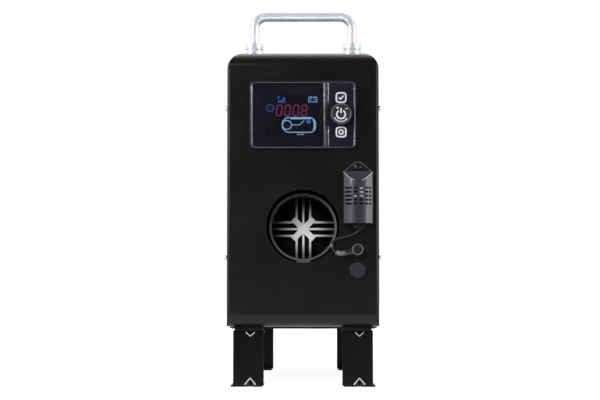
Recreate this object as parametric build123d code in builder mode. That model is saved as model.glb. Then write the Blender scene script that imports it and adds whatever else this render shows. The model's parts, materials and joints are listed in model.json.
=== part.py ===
"""Portable all-in-one diesel air heater in an upright sheet-steel case.

Millimetres, +Z up. The front panel faces -Y and +X is to the right of someone looking at it.
The origin is on the floor, under the middle of the heater. Most places inside are given as a
depth behind the outer face of the front panel.
"""

import math
import os

from build123d import *

# ---------------------------------------------------------------- driving dimensions
CASE_WIDTH = 152.0
CASE_DEPTH = 400.0
CASE_BOTTOM = 58.0
CASE_TOP = 334.0
SHEET = 1.2  # front and rear panels and the cover
BASE_SHEET = 1.5
SEAM = 0.15  # gap between sheets that overlap
POD_REACH = 20.0  # the sensor pod stands this far out of the front panel
GLAND_REACH = 14.0  # the power gland stands this far out of the rear panel

FRONT_Y = (POD_REACH - GLAND_REACH) / 2 - CASE_DEPTH / 2
MIDDLE_Y = FRONT_Y + CASE_DEPTH / 2

PANEL_WIDTH = CASE_WIDTH - 2 * (SHEET + SEAM)
PANEL_TOP = CASE_TOP - SHEET - SEAM
PANEL_BOTTOM = CASE_BOTTOM + BASE_SHEET + SEAM
PANEL_CORNER = 14.0  # radius of the panel's upper corners, seen from the front
TOP_BEND = 13.0
BOTTOM_BEND = 15.0
SIDE_BEND = 2.5
PANEL_FLANGE = 22.0  # how far the panel's flanges reach under the cover
RELIEF_SLOT = 1.2
COVER_SETBACK = 10.0  # the cover's edge stands this far behind the panel's face
BASE_SETBACK = 16.0

SIDE_SCREW_DEPTH = 16.0
SIDE_SCREW_HEIGHTS = (128.7, 279.2)
SIDE_SCREW_HEAD = 3.4
SIDE_SCREW_PROUD = 2.6
SIDE_SCREW_SHANK = 2.0
SIDE_SCREW_LENGTH = 7.0

HANDLE_DEPTH = 38.0
HANDLE_SPAN = 100.0
HANDLE_ROD = 10.0
HANDLE_TOP = 381.4
HANDLE_BEND = 12.0
FERRULE_RADIUS = 9.25
FERRULE_HEIGHT = 14.9
FERRULE_GROOVE = 0.6  # depth of the groove round the ferrule's middle
HANDLE_SCREW = 2.95

LEG_CENTRE = 54.5
LEG_WIDTH = 30.6
LEG_SETBACK = 14.0
LEG_REACH = 32.0
LEG_HEIGHT = 56.0
LEG_SHEET = 2.0
LEG_BEND = 3.0
DART_REACH = 5.2
FOOT_LIP = 2.4  # the foot flange reaches this far out past the leg's side
FOOT_CORNER = 2.0  # cut-off inner corner where the leg bends into its foot
FOOT_BOLT_DEPTH = 34.0
FOOT_BOLT_HOLE = 3.25
LEG_BOLT_DEPTHS = (29.0, 39.0)
LEG_BOLT = 2.45
PAD_DEPTH = 32.0  # middle of the rubber pad between each leg and the base
PAD_LENGTH = 27.0

CONTROL_X = -0.25
CONTROL_Z = 271.0
CONTROL_WIDTH = 105.9
CONTROL_HEIGHT = 67.9
CONTROL_PROUD = 5.0
CONTROL_BODY_DEPTH = 13.0
LENS_LEFT = -50.8
LENS_RIGHT = 21.0
LENS_HEIGHT = 64.0
DISPLAY_X = -10.65
DISPLAY_WIDTH = 52.1
DISPLAY_HEIGHT = 41.3
KEY_X = 38.0
KNOB_Z = 270.3
OK_Z = 287.5
SETTINGS_Z = 253.1
KEY_SIZE = 11.2
KNOB_RADIUS = 10.5
KNOB_FRONT = -16.2
KNOB_BACK = -6.2

POD_X = 54.55
POD_WIDTH = 28.9
POD_BOTTOM = 162.3
POD_TOP = 213.7
POD_SCREW_Z = 218.7
POD_APEX = 223.7  # top of the back plate's fixing tab
POD_BACK_PLATE = 2.5
POD_SHOULDER = 13.0
POD_FACE_HALF = 5.5
POD_FACE_ROUND = 14.0  # radius between the pod's front and its slanted sides
POD_SHOULDER_ROUND = 2.5
POD_SLOPE_FOOT = 204.2
SLOT_WIDTH = 1.8
SLOT_HEIGHTS = (196.9, 193.0, 189.0, 185.1, 181.2)
SLOT_SPANS = ((41.7, 48.3), (50.2, 53.5), (55.4, 59.2), (61.3, 64.2), (65.1, 67.3))

CORD_DIAMETER = 2.5
JACK_X = 54.15
JACK_Z = 136.5
PLUG_DEPTH = -8.2
PLUG_TILT = 14.8  # the plug's body slopes down to the left by this angle
PLUG_Z = 116.3
PLUG_HOLE = 6.4

CORE_Z = 159.9  # height of the heater core's axis
OUTLET_HOLE = 36.4
HOOD_RADIUS = 34.3
HOOD_BORE = 32.0
HOOD_FRONT = 23.0
HOOD_NECK = 60.0
SHELL_RADIUS = 57.0
SHELL_BORE = 54.8
SHELL_FRONT = 82.2
SHELL_BACK = 325.0
FIN_FRONT = 70.0
FIN_PITCH = 7.0
FIN_REACH = 51.0
FIN_ROOT = 4.0
FIN_THICKNESS = 2.2
CROSS_PROUD = 0.8  # the diagonal cross stands this far in front of the fins
DOME_FRONT = 80.0  # front of the closed end of the exchanger's tube
TUBE_RADIUS = 36.0
TUBE_BORE = 33.0
TUBE_BACK = 205.0
FOOT_Z = 98.5
EXCHANGER_FOOT_BACK = 192.0
BRACKET_TOP = 96.5
EXHAUST_X = 15.0
EXHAUST_DEPTH = 135.0
INTAKE_X = -15.0
INTAKE_DEPTH = 175.0
STUB_BOTTOM = 55.5
STUB_BEAD_Z = 92.5
SHAFT_RADIUS = 2.5

TANK_FRONT = 55.0
TANK_BACK = 348.0
TANK_HALF_WIDTH = 69.0
TANK_BOTTOM = 219.5
TANK_TOP = 324.0
TANK_WALL = 2.5
TANK_OUTLET = 6.0
TANK_OUTLET_DEPTH = 338.0
FILLER_DEPTH = 200.0
NECK_RADIUS = 24.0
NECK_BORE = 20.0
NECK_TOP = 341.0
CAP_RADIUS = 28.0
CAP_BOTTOM = 334.6
CAP_TOP = 351.5

GLAND_X = 45.0
GLAND_Z = 88.0
LINE_RADIUS = 2.5

CORE_AXIS = Axis((0, 0, CORE_Z), (0, 1, 0))
os.makedirs("parts", exist_ok=True)


# ---------------------------------------------------------------- places
def behind(depth):
    """Plane parallel to the front panel, depth behind its outer face, looking out at the viewer."""
    return Plane.XZ.offset(-(FRONT_Y + depth))


def core_profile(turn=0.0):
    """Plane through the core's axis, turned about it: local x is the depth, local y the radius."""
    sideways = (math.cos(turn), 0, math.sin(turn))
    return Plane(origin=(0, FRONT_Y, CORE_Z), x_dir=(0, 1, 0), z_dir=sideways)


def back_to_front():
    """Plane that mirrors the front of the case onto its back."""
    return Plane.XZ.offset(-MIDDLE_Y)


def write(part, name):
    """Label a finished piece and write its STEP file."""
    part.label = name
    export_step(part, f"parts/{name}.step")


# ---------------------------------------------------------------- front and rear panels
def panel_envelope(inset, reach):
    """Outer form of a panel, moved in by inset: bends at the top, bottom and sides."""
    middle_z = (PANEL_TOP + PANEL_BOTTOM) / 2
    height = PANEL_TOP - PANEL_BOTTOM - 2 * inset
    with BuildPart() as envelope:
        with BuildSketch(behind(inset)):
            with Locations((0, middle_z)):
                Rectangle(PANEL_WIDTH - 2 * inset, height)
            fillet(vertices().group_by(Axis.Y)[-1], radius=PANEL_CORNER - inset)
            fillet(vertices().group_by(Axis.Y)[0], radius=3.5 - inset)
        extrude(amount=inset - reach)
        with BuildSketch(Plane.YZ.offset(-CASE_WIDTH / 2)):
            with Locations((FRONT_Y + inset + reach / 2, middle_z)):
                Rectangle(reach, height)
            front = vertices().group_by(Axis.X)[0].sort_by(Axis.Y)
            fillet(front[-1], radius=TOP_BEND - inset)
            front = vertices().group_by(Axis.X)[0].sort_by(Axis.Y)
            fillet(front[0], radius=BOTTOM_BEND - inset)
        extrude(amount=CASE_WIDTH, mode=Mode.INTERSECT)
        with BuildSketch(Plane.XY):
            with Locations((0, FRONT_Y + inset + reach / 2)):
                Rectangle(PANEL_WIDTH - 2 * inset, reach)
            fillet(vertices().group_by(Axis.Y)[0], radius=SIDE_BEND - inset)
        extrude(amount=CASE_TOP, mode=Mode.INTERSECT)
    return envelope.part


def bare_panel():
    """Panel without its cut-outs: a pan 1.2 thick, with bend reliefs at the ends of its sides."""
    with BuildPart() as pan:
        add(panel_envelope(0, PANEL_FLANGE))
        add(panel_envelope(SHEET, PANEL_FLANGE + 1), mode=Mode.SUBTRACT)
        for z in (PANEL_TOP - PANEL_CORNER - 1, PANEL_BOTTOM + BOTTOM_BEND + 1):
            for side in (-1, 1):
                with BuildSketch(behind(SIDE_BEND)):
                    with Locations((side * PANEL_WIDTH / 2, z)):
                        Rectangle(2 * SHEET, RELIEF_SLOT)
                extrude(amount=-PANEL_FLANGE, mode=Mode.SUBTRACT)
        with BuildSketch(Plane.YZ.offset(-CASE_WIDTH / 2)):
            with Locations(*[(FRONT_Y + SIDE_SCREW_DEPTH, z) for z in SIDE_SCREW_HEIGHTS]):
                Circle(SIDE_SCREW_SHANK + 0.1)
        extrude(amount=CASE_WIDTH, mode=Mode.SUBTRACT)
    return pan.part


with BuildPart() as front_panel:
    add(bare_panel())
    with BuildSketch(behind(0)):
        with Locations((CONTROL_X, CONTROL_Z)):
            Rectangle(98, 60)
        with Locations((0, CORE_Z)):
            Circle(OUTLET_HOLE)
        with Locations((JACK_X, JACK_Z)):
            Circle(3.2)
        with Locations((JACK_X, PLUG_Z)):
            Circle(PLUG_HOLE)
        with Locations((POD_X, POD_SCREW_Z)):
            Circle(1.6)
    extrude(amount=-2 * SHEET, mode=Mode.SUBTRACT)
write(front_panel.part, "front_panel")

with BuildPart() as rear_panel:
    add(mirror(bare_panel(), about=back_to_front()))
    with BuildSketch(behind(CASE_DEPTH)):
        for column in range(-3, 4):
            reach = math.sqrt(50.0**2 - (13.0 * column) ** 2)
            for side in (-1, 1):
                with Locations((13.0 * column, CORE_Z + side * (reach / 2 + 2))):
                    SlotOverall(reach - 4, 7, rotation=90)
        with Locations((GLAND_X, GLAND_Z)):
            Circle(8.1)
    extrude(amount=2 * SHEET, mode=Mode.SUBTRACT)
write(rear_panel.part, "rear_panel")

# ---------------------------------------------------------------- cover
with BuildPart() as cover:
    with BuildSketch(behind(COVER_SETBACK)):
        skirt = CASE_BOTTOM + 2.5
        with Locations((0, (CASE_TOP + skirt) / 2)):
            Rectangle(CASE_WIDTH, CASE_TOP - skirt)
        fillet(vertices().group_by(Axis.Y)[-1], radius=PANEL_CORNER + SHEET)
        with BuildSketch(mode=Mode.SUBTRACT):
            with Locations((0, (CASE_TOP + skirt) / 2 - SHEET)):
                Rectangle(CASE_WIDTH - 2 * SHEET, CASE_TOP - skirt)
            fillet(vertices().group_by(Axis.Y)[-1], radius=PANEL_CORNER)
    extrude(amount=-(CASE_DEPTH - 2 * COVER_SETBACK))
    with BuildSketch(Plane.YZ.offset(-CASE_WIDTH / 2)):
        for y in (FRONT_Y + SIDE_SCREW_DEPTH, FRONT_Y + CASE_DEPTH - SIDE_SCREW_DEPTH):
            with Locations(*[(y, z) for z in SIDE_SCREW_HEIGHTS]):
                Circle(SIDE_SCREW_SHANK + 0.1)
    extrude(amount=CASE_WIDTH, mode=Mode.SUBTRACT)
    with BuildSketch(Plane.XY.offset(CASE_TOP)):
        with Locations((0, FRONT_Y + FILLER_DEPTH)):
            Circle(NECK_RADIUS + 0.6)
        for depth in (HANDLE_DEPTH, CASE_DEPTH - HANDLE_DEPTH):
            with Locations(*[(side * HANDLE_SPAN / 2, FRONT_Y + depth) for side in (-1, 1)]):
                Circle(HANDLE_SCREW + 0.2)
    extrude(amount=-2 * SHEET, mode=Mode.SUBTRACT)
write(cover.part, "cover")

# ---------------------------------------------------------------- base plate
with BuildPart() as base_plate:
    with BuildSketch(behind(PANEL_FLANGE + 2)):
        with Locations((0, CASE_BOTTOM + 8)):
            Rectangle(PANEL_WIDTH, 16)
        fillet(vertices().group_by(Axis.Y)[0], radius=3.5)
        with BuildSketch(mode=Mode.SUBTRACT):
            with Locations((0, CASE_BOTTOM + 8 + BASE_SHEET)):
                Rectangle(PANEL_WIDTH - 2 * BASE_SHEET, 16)
            fillet(vertices().group_by(Axis.Y)[0], radius=2.0)
    extrude(amount=-(CASE_DEPTH - 2 * PANEL_FLANGE - 4))
    with BuildSketch(Plane.XY.offset(CASE_BOTTOM)):
        with Locations((0, MIDDLE_Y)):
            Rectangle(PANEL_WIDTH - 7, CASE_DEPTH - 2 * BASE_SETBACK)
    extrude(amount=BASE_SHEET)
    with BuildSketch(Plane.XY.offset(CASE_BOTTOM)):
        with Locations((EXHAUST_X, FRONT_Y + EXHAUST_DEPTH)):
            Circle(20)
        with Locations((INTAKE_X, FRONT_Y + INTAKE_DEPTH)):
            Circle(17)
        for side in (-1, 1):
            for depth in LEG_BOLT_DEPTHS:
                for y in (FRONT_Y + depth, FRONT_Y + CASE_DEPTH - depth):
                    with Locations((side * LEG_CENTRE, y)):
                        Circle(LEG_BOLT + 0.2)
        with Locations(*[(x, MIDDLE_Y + 60) for x in (-40, 0, 40)]):
            SlotOverall(40, 6, rotation=90)
    extrude(amount=BASE_SHEET, mode=Mode.SUBTRACT)
write(base_plate.part, "base_plate")

# ---------------------------------------------------------------- side screws
with BuildPart() as cover_screws:
    for side in (-1, 1):
        for depth in (SIDE_SCREW_DEPTH, CASE_DEPTH - SIDE_SCREW_DEPTH):
            for z in SIDE_SCREW_HEIGHTS:
                centre = (side * CASE_WIDTH / 2, FRONT_Y + depth, z)
                outwards = Plane(origin=centre, x_dir=(0, 0, 1), z_dir=(side, 0, 0))
                with BuildSketch(outwards):
                    Circle(SIDE_SCREW_HEAD)
                extrude(amount=SIDE_SCREW_PROUD, taper=18)
                with BuildSketch(outwards):
                    Circle(SIDE_SCREW_SHANK)
                extrude(amount=-SIDE_SCREW_LENGTH)
write(cover_screws.part, "cover_screws")


# ---------------------------------------------------------------- carrying handles
def handle_rod(depth):
    """U of chromed rod that stands on the cover, with a tapped hole in each foot."""
    half = HANDLE_SPAN / 2
    crown = HANDLE_TOP - HANDLE_ROD / 2
    with BuildPart() as rod:
        with BuildLine(behind(depth)):
            FilletPolyline(
                (-half, CASE_TOP), (-half, crown), (half, crown), (half, CASE_TOP), radius=HANDLE_BEND
            )
        with BuildSketch(Plane(origin=(-half, FRONT_Y + depth, CASE_TOP), z_dir=(0, 0, 1))):
            Circle(HANDLE_ROD / 2)
        sweep()
        with BuildSketch(Plane.XY.offset(CASE_TOP)):
            with Locations(*[(side * half, FRONT_Y + depth) for side in (-1, 1)]):
                Circle(HANDLE_SCREW + 0.05)
        extrude(amount=16, mode=Mode.SUBTRACT)
    return rod.part


write(handle_rod(HANDLE_DEPTH), "front_handle")
write(handle_rod(CASE_DEPTH - HANDLE_DEPTH), "rear_handle")

handle_feet = [
    (side * HANDLE_SPAN / 2, FRONT_Y + depth)
    for depth in (HANDLE_DEPTH, CASE_DEPTH - HANDLE_DEPTH)
    for side in (-1, 1)
]

with BuildPart() as handle_ferrules:
    for x, y in handle_feet:
        with BuildSketch(Plane(origin=(x, y, CASE_TOP), x_dir=(1, 0, 0), z_dir=(0, -1, 0))):
            bore = HANDLE_ROD / 2 + 0.05
            middle = FERRULE_HEIGHT / 2
            Polygon(
                (bore, 0), (FERRULE_RADIUS, 0), (FERRULE_RADIUS, middle - FERRULE_GROOVE),
                (FERRULE_RADIUS - FERRULE_GROOVE, middle), (FERRULE_RADIUS, middle + FERRULE_GROOVE),
                (FERRULE_RADIUS, FERRULE_HEIGHT - 1.5),
                (FERRULE_RADIUS - 1.5, FERRULE_HEIGHT), (bore, FERRULE_HEIGHT), align=None,
            )
        revolve(axis=Axis((x, y, 0), (0, 0, 1)))
write(handle_ferrules.part, "handle_ferrules")

with BuildPart() as handle_screws:
    under_cover = CASE_TOP - SHEET
    for x, y in handle_feet:
        with BuildSketch(Plane.XY.offset(under_cover)):
            with Locations((x, y)):
                RegularPolygon(5.5, 6)
        extrude(amount=-3)
        with BuildSketch(Plane.XY.offset(under_cover)):
            with Locations((x, y)):
                Circle(HANDLE_SCREW)
        extrude(amount=14)
write(handle_screws.part, "handle_screws")


# ---------------------------------------------------------------- legs
def dart(edge_z, up):
    """Long V-shaped bar across a bend of the leg at 45 degrees; up is 1 at the top bend, -1 below."""
    apex = (LEG_CENTRE, FRONT_Y + LEG_SETBACK, edge_z - up * DART_REACH)
    across_bend = Plane(origin=apex, x_dir=(1, 0, 0), z_dir=(0, 1, up))
    half_width = 12
    mouth = -9 * up  # local y points into the leg at the top bend, out of it at the bottom one
    with BuildPart() as bar:
        with BuildSketch(across_bend.offset(-20)):
            Polygon((0, 0), (half_width, mouth), (-half_width, mouth), align=None)
        extrude(amount=40)
    return bar.part


def leg_blank():
    """Front right leg: a C of bent sheet, open to the back, with a pressed dart in each bend."""
    front = FRONT_Y + LEG_SETBACK
    left = LEG_CENTRE - LEG_WIDTH / 2
    with BuildPart() as inside:
        with BuildSketch(Plane.YZ.offset(left - 5)):
            with Locations((front + LEG_SHEET + LEG_REACH / 2, LEG_HEIGHT / 2)):
                Rectangle(LEG_REACH, LEG_HEIGHT - 2 * LEG_SHEET)
            fillet(vertices().group_by(Axis.X)[0], radius=LEG_BEND - LEG_SHEET)
        extrude(amount=LEG_WIDTH + 15)
        for edge_z, up in ((LEG_HEIGHT, 1), (0, -1)):
            pressed = dart(edge_z, up).moved(Location((0, LEG_SHEET, -up * LEG_SHEET)))
            add(pressed, mode=Mode.SUBTRACT)
    with BuildPart() as leg:
        with BuildSketch(Plane.YZ.offset(left)):
            with Locations((front + LEG_REACH / 2, LEG_HEIGHT / 2)):
                Rectangle(LEG_REACH, LEG_HEIGHT)
            fillet(vertices().group_by(Axis.X)[0], radius=LEG_BEND)
        extrude(amount=LEG_WIDTH)
        for edge_z, up in ((LEG_HEIGHT, 1), (0, -1)):
            add(dart(edge_z, up), mode=Mode.SUBTRACT)
        add(inside.part, mode=Mode.SUBTRACT)
        with BuildSketch(Plane.XY):
            with Locations((left + LEG_WIDTH + FOOT_LIP / 2, front + (LEG_BEND + LEG_REACH) / 2)):
                Rectangle(FOOT_LIP, LEG_REACH - LEG_BEND)
        extrude(amount=LEG_SHEET)
        with BuildSketch(behind(LEG_SETBACK)):
            Polygon((left, 0), (left + FOOT_CORNER, 0), (left, FOOT_CORNER), align=None)
        extrude(amount=-LEG_REACH, mode=Mode.SUBTRACT)
        with BuildSketch(Plane.XY.offset(LEG_HEIGHT)):
            with Locations(*[(LEG_CENTRE, FRONT_Y + depth) for depth in LEG_BOLT_DEPTHS]):
                Circle(LEG_BOLT + 0.2)
        extrude(amount=-2 * LEG_SHEET, mode=Mode.SUBTRACT)
        with BuildSketch(Plane.XY):
            with Locations((LEG_CENTRE, FRONT_Y + FOOT_BOLT_DEPTH)):
                Circle(FOOT_BOLT_HOLE)
        extrude(amount=2 * LEG_SHEET, mode=Mode.SUBTRACT)
    return leg.part


front_right = leg_blank()
front_left = mirror(front_right, about=Plane.YZ)
write(mirror(front_right, about=back_to_front()), "leg_rear_right")
write(mirror(front_left, about=back_to_front()), "leg_rear_left")
write(front_right, "leg_front_right")
write(front_left, "leg_front_left")

leg_bolt_places = [
    (side * LEG_CENTRE, y)
    for side in (-1, 1)
    for depth in LEG_BOLT_DEPTHS
    for y in (FRONT_Y + depth, FRONT_Y + CASE_DEPTH - depth)
]

with BuildPart() as leg_bolts:
    head_z = LEG_HEIGHT - LEG_SHEET
    with BuildSketch(Plane.XY.offset(head_z)):
        with Locations(*leg_bolt_places):
            RegularPolygon(4.6, 6)
    extrude(amount=-3)
    with BuildSketch(Plane.XY.offset(head_z)):
        with Locations(*leg_bolt_places):
            Circle(LEG_BOLT)
    extrude(amount=5.5)
    with BuildSketch(Plane.XY.offset(CASE_BOTTOM + BASE_SHEET)):
        with Locations(*leg_bolt_places):
            RegularPolygon(4.6, 6)
    extrude(amount=4)
write(leg_bolts.part, "leg_bolts")

with BuildPart() as leg_pads:
    with BuildSketch(Plane.XY.offset(LEG_HEIGHT)):
        for side in (-1, 1):
            for y in (FRONT_Y + PAD_DEPTH, FRONT_Y + CASE_DEPTH - PAD_DEPTH):
                with Locations((side * LEG_CENTRE, y)):
                    RectangleRounded(LEG_WIDTH - 2, PAD_LENGTH, 2)
        with Locations(*leg_bolt_places):
            Circle(LEG_BOLT + 0.2, mode=Mode.SUBTRACT)
    extrude(amount=CASE_BOTTOM - LEG_HEIGHT)
write(leg_pads.part, "leg_pads")

# ---------------------------------------------------------------- controller
LENS_RECESS = -2.6  # depth of the ledge that the lens lies on
HOUSING_WALL = -1.2  # depth of the inner face of the housing's front wall
LENS_X = (LENS_LEFT + LENS_RIGHT) / 2
LENS_WIDTH = LENS_RIGHT - LENS_LEFT
KEYS_LEFT = 26.4
KEYS_RIGHT = 50.6

with BuildPart() as controller_housing:
    with BuildSketch(behind(0)):
        with Locations((CONTROL_X, CONTROL_Z)):
            RectangleRounded(CONTROL_WIDTH, CONTROL_HEIGHT, 4)
    extrude(amount=CONTROL_PROUD)
    chamfer(faces().sort_by(Axis.Y)[0].edges(), length=0.8)
    with BuildSketch(behind(0)):
        with Locations((CONTROL_X, CONTROL_Z)):
            Rectangle(97, 59)
    extrude(amount=-CONTROL_BODY_DEPTH)
    with BuildSketch(behind(HOUSING_WALL)):
        with Locations((CONTROL_X, CONTROL_Z)):
            Rectangle(93, 55)
    extrude(amount=HOUSING_WALL - CONTROL_BODY_DEPTH + 1.5, mode=Mode.SUBTRACT)
    with BuildSketch(behind(LENS_RECESS)):
        with Locations((LENS_X, CONTROL_Z)):
            RectangleRounded(LENS_WIDTH + 0.2, LENS_HEIGHT + 0.2, 3.6)
    extrude(amount=3, mode=Mode.SUBTRACT)
    with BuildSketch(behind(-CONTROL_PROUD + 0.8)):
        with Locations(((KEYS_LEFT + KEYS_RIGHT) / 2, CONTROL_Z)):
            RectangleRounded(KEYS_RIGHT - KEYS_LEFT, LENS_HEIGHT, 3.5)
        with Locations((23.85, CONTROL_Z)):
            Rectangle(2.0, LENS_HEIGHT)
    extrude(amount=2, mode=Mode.SUBTRACT)
    with BuildSketch(behind(0)):
        with Locations((DISPLAY_X, CONTROL_Z)):
            Rectangle(DISPLAY_WIDTH + 2, DISPLAY_HEIGHT + 2)
        with Locations((KEY_X, KNOB_Z)):
            Circle(5.0)
        with Locations((KEY_X, OK_Z), (KEY_X, SETTINGS_Z)):
            RectangleRounded(KEY_SIZE + 0.4, KEY_SIZE + 0.4, 3.7)
    extrude(amount=CONTROL_PROUD, mode=Mode.SUBTRACT)
write(controller_housing.part, "controller_housing")

with BuildPart() as screen_lens:
    with BuildSketch(behind(LENS_RECESS)):
        with Locations((LENS_X, CONTROL_Z)):
            RectangleRounded(LENS_WIDTH, LENS_HEIGHT, 3.5)
    extrude(amount=2.0)
write(screen_lens.part, "screen_lens")

with BuildPart() as lcd_panel:
    with BuildSketch(behind(HOUSING_WALL + 3.2)):
        with Locations((DISPLAY_X, CONTROL_Z)):
            Rectangle(DISPLAY_WIDTH + 10, DISPLAY_HEIGHT + 10)
    extrude(amount=3.2)
    with BuildSketch(behind(HOUSING_WALL)):
        with Locations((DISPLAY_X, CONTROL_Z)):
            Rectangle(DISPLAY_WIDTH, DISPLAY_HEIGHT)
    extrude(amount=1.2)
write(lcd_panel.part, "lcd_panel")

with BuildPart() as controller_board:
    with BuildSketch(behind(7)):
        with Locations((CONTROL_X, CONTROL_Z)):
            Rectangle(90, 52)
    extrude(amount=-1.6)
    with BuildSketch(behind(7)):
        with Locations((KEY_X, OK_Z), (KEY_X, SETTINGS_Z)):
            Rectangle(6, 6)
        with Locations((DISPLAY_X, CONTROL_Z - 22)):
            Rectangle(30, 4)
    extrude(amount=1.8)
write(controller_board.part, "controller_board")

with BuildPart() as rotary_encoder:
    with BuildSketch(behind(7)):
        with Locations((KEY_X, KNOB_Z)):
            Rectangle(12, 12)
    extrude(amount=6)
    with BuildSketch(behind(1)):
        with Locations((KEY_X, KNOB_Z)):
            Circle(4.8)
    extrude(amount=2.4)
    with BuildSketch(behind(4.6)):
        with Locations((KEY_X, KNOB_Z)):
            Circle(3.95)
    extrude(amount=8, mode=Mode.SUBTRACT)
write(rotary_encoder.part, "rotary_encoder")

with BuildPart() as encoder_rotor:
    with BuildSketch(behind(4.4)):
        with Locations((KEY_X, KNOB_Z)):
            Circle(3.9)
            Circle(2.05, mode=Mode.SUBTRACT)
    extrude(amount=6.2)
write(encoder_rotor.part, "encoder_rotor")

with BuildPart() as knob_shaft:
    with BuildSketch(behind(3.2)):
        with Locations((KEY_X, KNOB_Z)):
            Circle(2.0)
    extrude(amount=3.2 - KNOB_FRONT - 2.6)
write(knob_shaft.part, "knob_shaft")

with BuildPart() as knob:
    with BuildSketch(behind(KNOB_BACK)):
        with Locations((KEY_X, KNOB_Z)):
            Circle(KNOB_RADIUS)
    extrude(amount=KNOB_BACK - KNOB_FRONT)
    chamfer(faces().sort_by(Axis.Y)[0].edges(), length=1.0)
    with BuildSketch(behind(KNOB_BACK)):
        with Locations((KEY_X, KNOB_Z)):
            Circle(KNOB_RADIUS - 1.6)
            Circle(4.0, mode=Mode.SUBTRACT)
    extrude(amount=KNOB_BACK - KNOB_FRONT - 2.0, mode=Mode.SUBTRACT)
    with BuildSketch(behind(KNOB_BACK)):
        with Locations((KEY_X, KNOB_Z)):
            Circle(2.0)
    extrude(amount=KNOB_BACK - KNOB_FRONT - 2.6, mode=Mode.SUBTRACT)
write(knob.part, "knob")


def push_button(z):
    """Square key with a stem that reaches to just short of its switch on the board."""
    with BuildPart() as button:
        with BuildSketch(behind(-2.2)):
            with Locations((KEY_X, z)):
                RectangleRounded(KEY_SIZE, KEY_SIZE, 3.5)
        extrude(amount=3.8)
        chamfer(faces().sort_by(Axis.Y)[0].edges(), length=0.5)
        with BuildSketch(behind(-2.2)):
            with Locations((KEY_X, z)):
                Circle(1.5)
        extrude(amount=-6.3)
    return button.part


write(push_button(OK_Z), "ok_button")
write(push_button(SETTINGS_Z), "settings_button")


# ---------------------------------------------------------------- sensor pod
def pod_form(inset):
    """Three-sided front of the pod, with a slope at its top, moved in by inset."""
    half = POD_WIDTH / 2 - inset
    face = POD_FACE_HALF - inset * 0.4
    front = FRONT_Y - POD_REACH + inset
    shoulder = FRONT_Y - POD_SHOULDER + inset * 0.6
    back = FRONT_Y - POD_BACK_PLATE
    with BuildPart() as form:
        with BuildSketch(Plane.XY.offset(POD_BOTTOM + inset)):
            with Locations((POD_X, 0)):
                Polygon(
                    (-half, back), (-half, shoulder), (-face, front),
                    (face, front), (half, shoulder), (half, back), align=None,
                )
            fillet(vertices().group_by(Axis.Y)[1], radius=POD_SHOULDER_ROUND - inset)
            fillet(vertices().group_by(Axis.Y)[0], radius=POD_FACE_ROUND - inset)
        extrude(amount=POD_TOP - POD_BOTTOM - 2 * inset)
        with BuildSketch(Plane.YZ.offset(POD_X - POD_WIDTH)):
            slope_foot = POD_SLOPE_FOOT - inset
            Polygon(
                (FRONT_Y - POD_REACH - 4, slope_foot - 6.2), (FRONT_Y - POD_REACH - 4, POD_TOP + 5),
                (FRONT_Y - POD_SHOULDER + 1.0 + inset, POD_TOP + 5),
                (FRONT_Y - POD_SHOULDER + 1.0 + inset, POD_TOP - inset * 0.4),
                (FRONT_Y - POD_REACH + inset, slope_foot), align=None,
            )
        extrude(amount=2 * POD_WIDTH, mode=Mode.SUBTRACT)
    return form.part


with BuildPart() as sensor_cover:
    add(pod_form(0))
    add(pod_form(1.5), mode=Mode.SUBTRACT)
    with BuildSketch(behind(-POD_BACK_PLATE)):
        with Locations((POD_X, (POD_BOTTOM + POD_TOP) / 2)):
            Rectangle(POD_WIDTH - 3, POD_TOP - POD_BOTTOM - 3)
    extrude(amount=3, mode=Mode.SUBTRACT)
    with BuildSketch(behind(-POD_REACH - 1)):
        for z in SLOT_HEIGHTS:
            for left, right in SLOT_SPANS:
                with Locations(((left + right) / 2, z)):
                    Rectangle(right - left, SLOT_WIDTH)
    extrude(amount=-11, mode=Mode.SUBTRACT)
write(sensor_cover.part, "sensor_cover")

with BuildPart() as sensor_back:
    with BuildSketch(behind(0)):
        with Locations((POD_X, (POD_BOTTOM + POD_TOP) / 2)):
            Rectangle(POD_WIDTH, POD_TOP - POD_BOTTOM)
        with BuildLine():
            half = POD_WIDTH / 2
            Polyline(
                (POD_X - half, POD_TOP), (POD_X - 3.2, POD_APEX), (POD_X + 3.2, POD_APEX),
                (POD_X + half, POD_TOP), (POD_X - half, POD_TOP),
            )
        make_face()
        with Locations((POD_X, POD_SCREW_Z)):
            Circle(4.6)
            Circle(1.9, mode=Mode.SUBTRACT)
    extrude(amount=POD_BACK_PLATE)
write(sensor_back.part, "sensor_back")

with BuildPart() as sensor_board:
    with BuildSketch(behind(-5)):
        with Locations((POD_X, 188)):
            Rectangle(22, 44)
    extrude(amount=1.6)
    with BuildSketch(behind(-6.6)):
        with Locations((POD_X, 190)):
            Rectangle(13, 18)
        with Locations((POD_X, 171)):
            Rectangle(8, 5)
    extrude(amount=5.0)
write(sensor_board.part, "sensor_board")

with BuildPart() as sensor_screw:
    with BuildSketch(behind(-POD_BACK_PLATE)):
        with Locations((POD_X, POD_SCREW_Z)):
            Circle(3.6)
    extrude(amount=2.2, taper=20)
    with BuildSketch(behind(-POD_BACK_PLATE - 2.2)):
        with Locations((POD_X, POD_SCREW_Z)):
            Rectangle(3.6, 0.8, rotation=20)
            Rectangle(0.8, 3.6, rotation=20)
    extrude(amount=-1.1, mode=Mode.SUBTRACT)
    with BuildSketch(behind(-POD_BACK_PLATE)):
        with Locations((POD_X, POD_SCREW_Z)):
            Circle(1.5)
    extrude(amount=-7)
write(sensor_screw.part, "sensor_screw")

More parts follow.
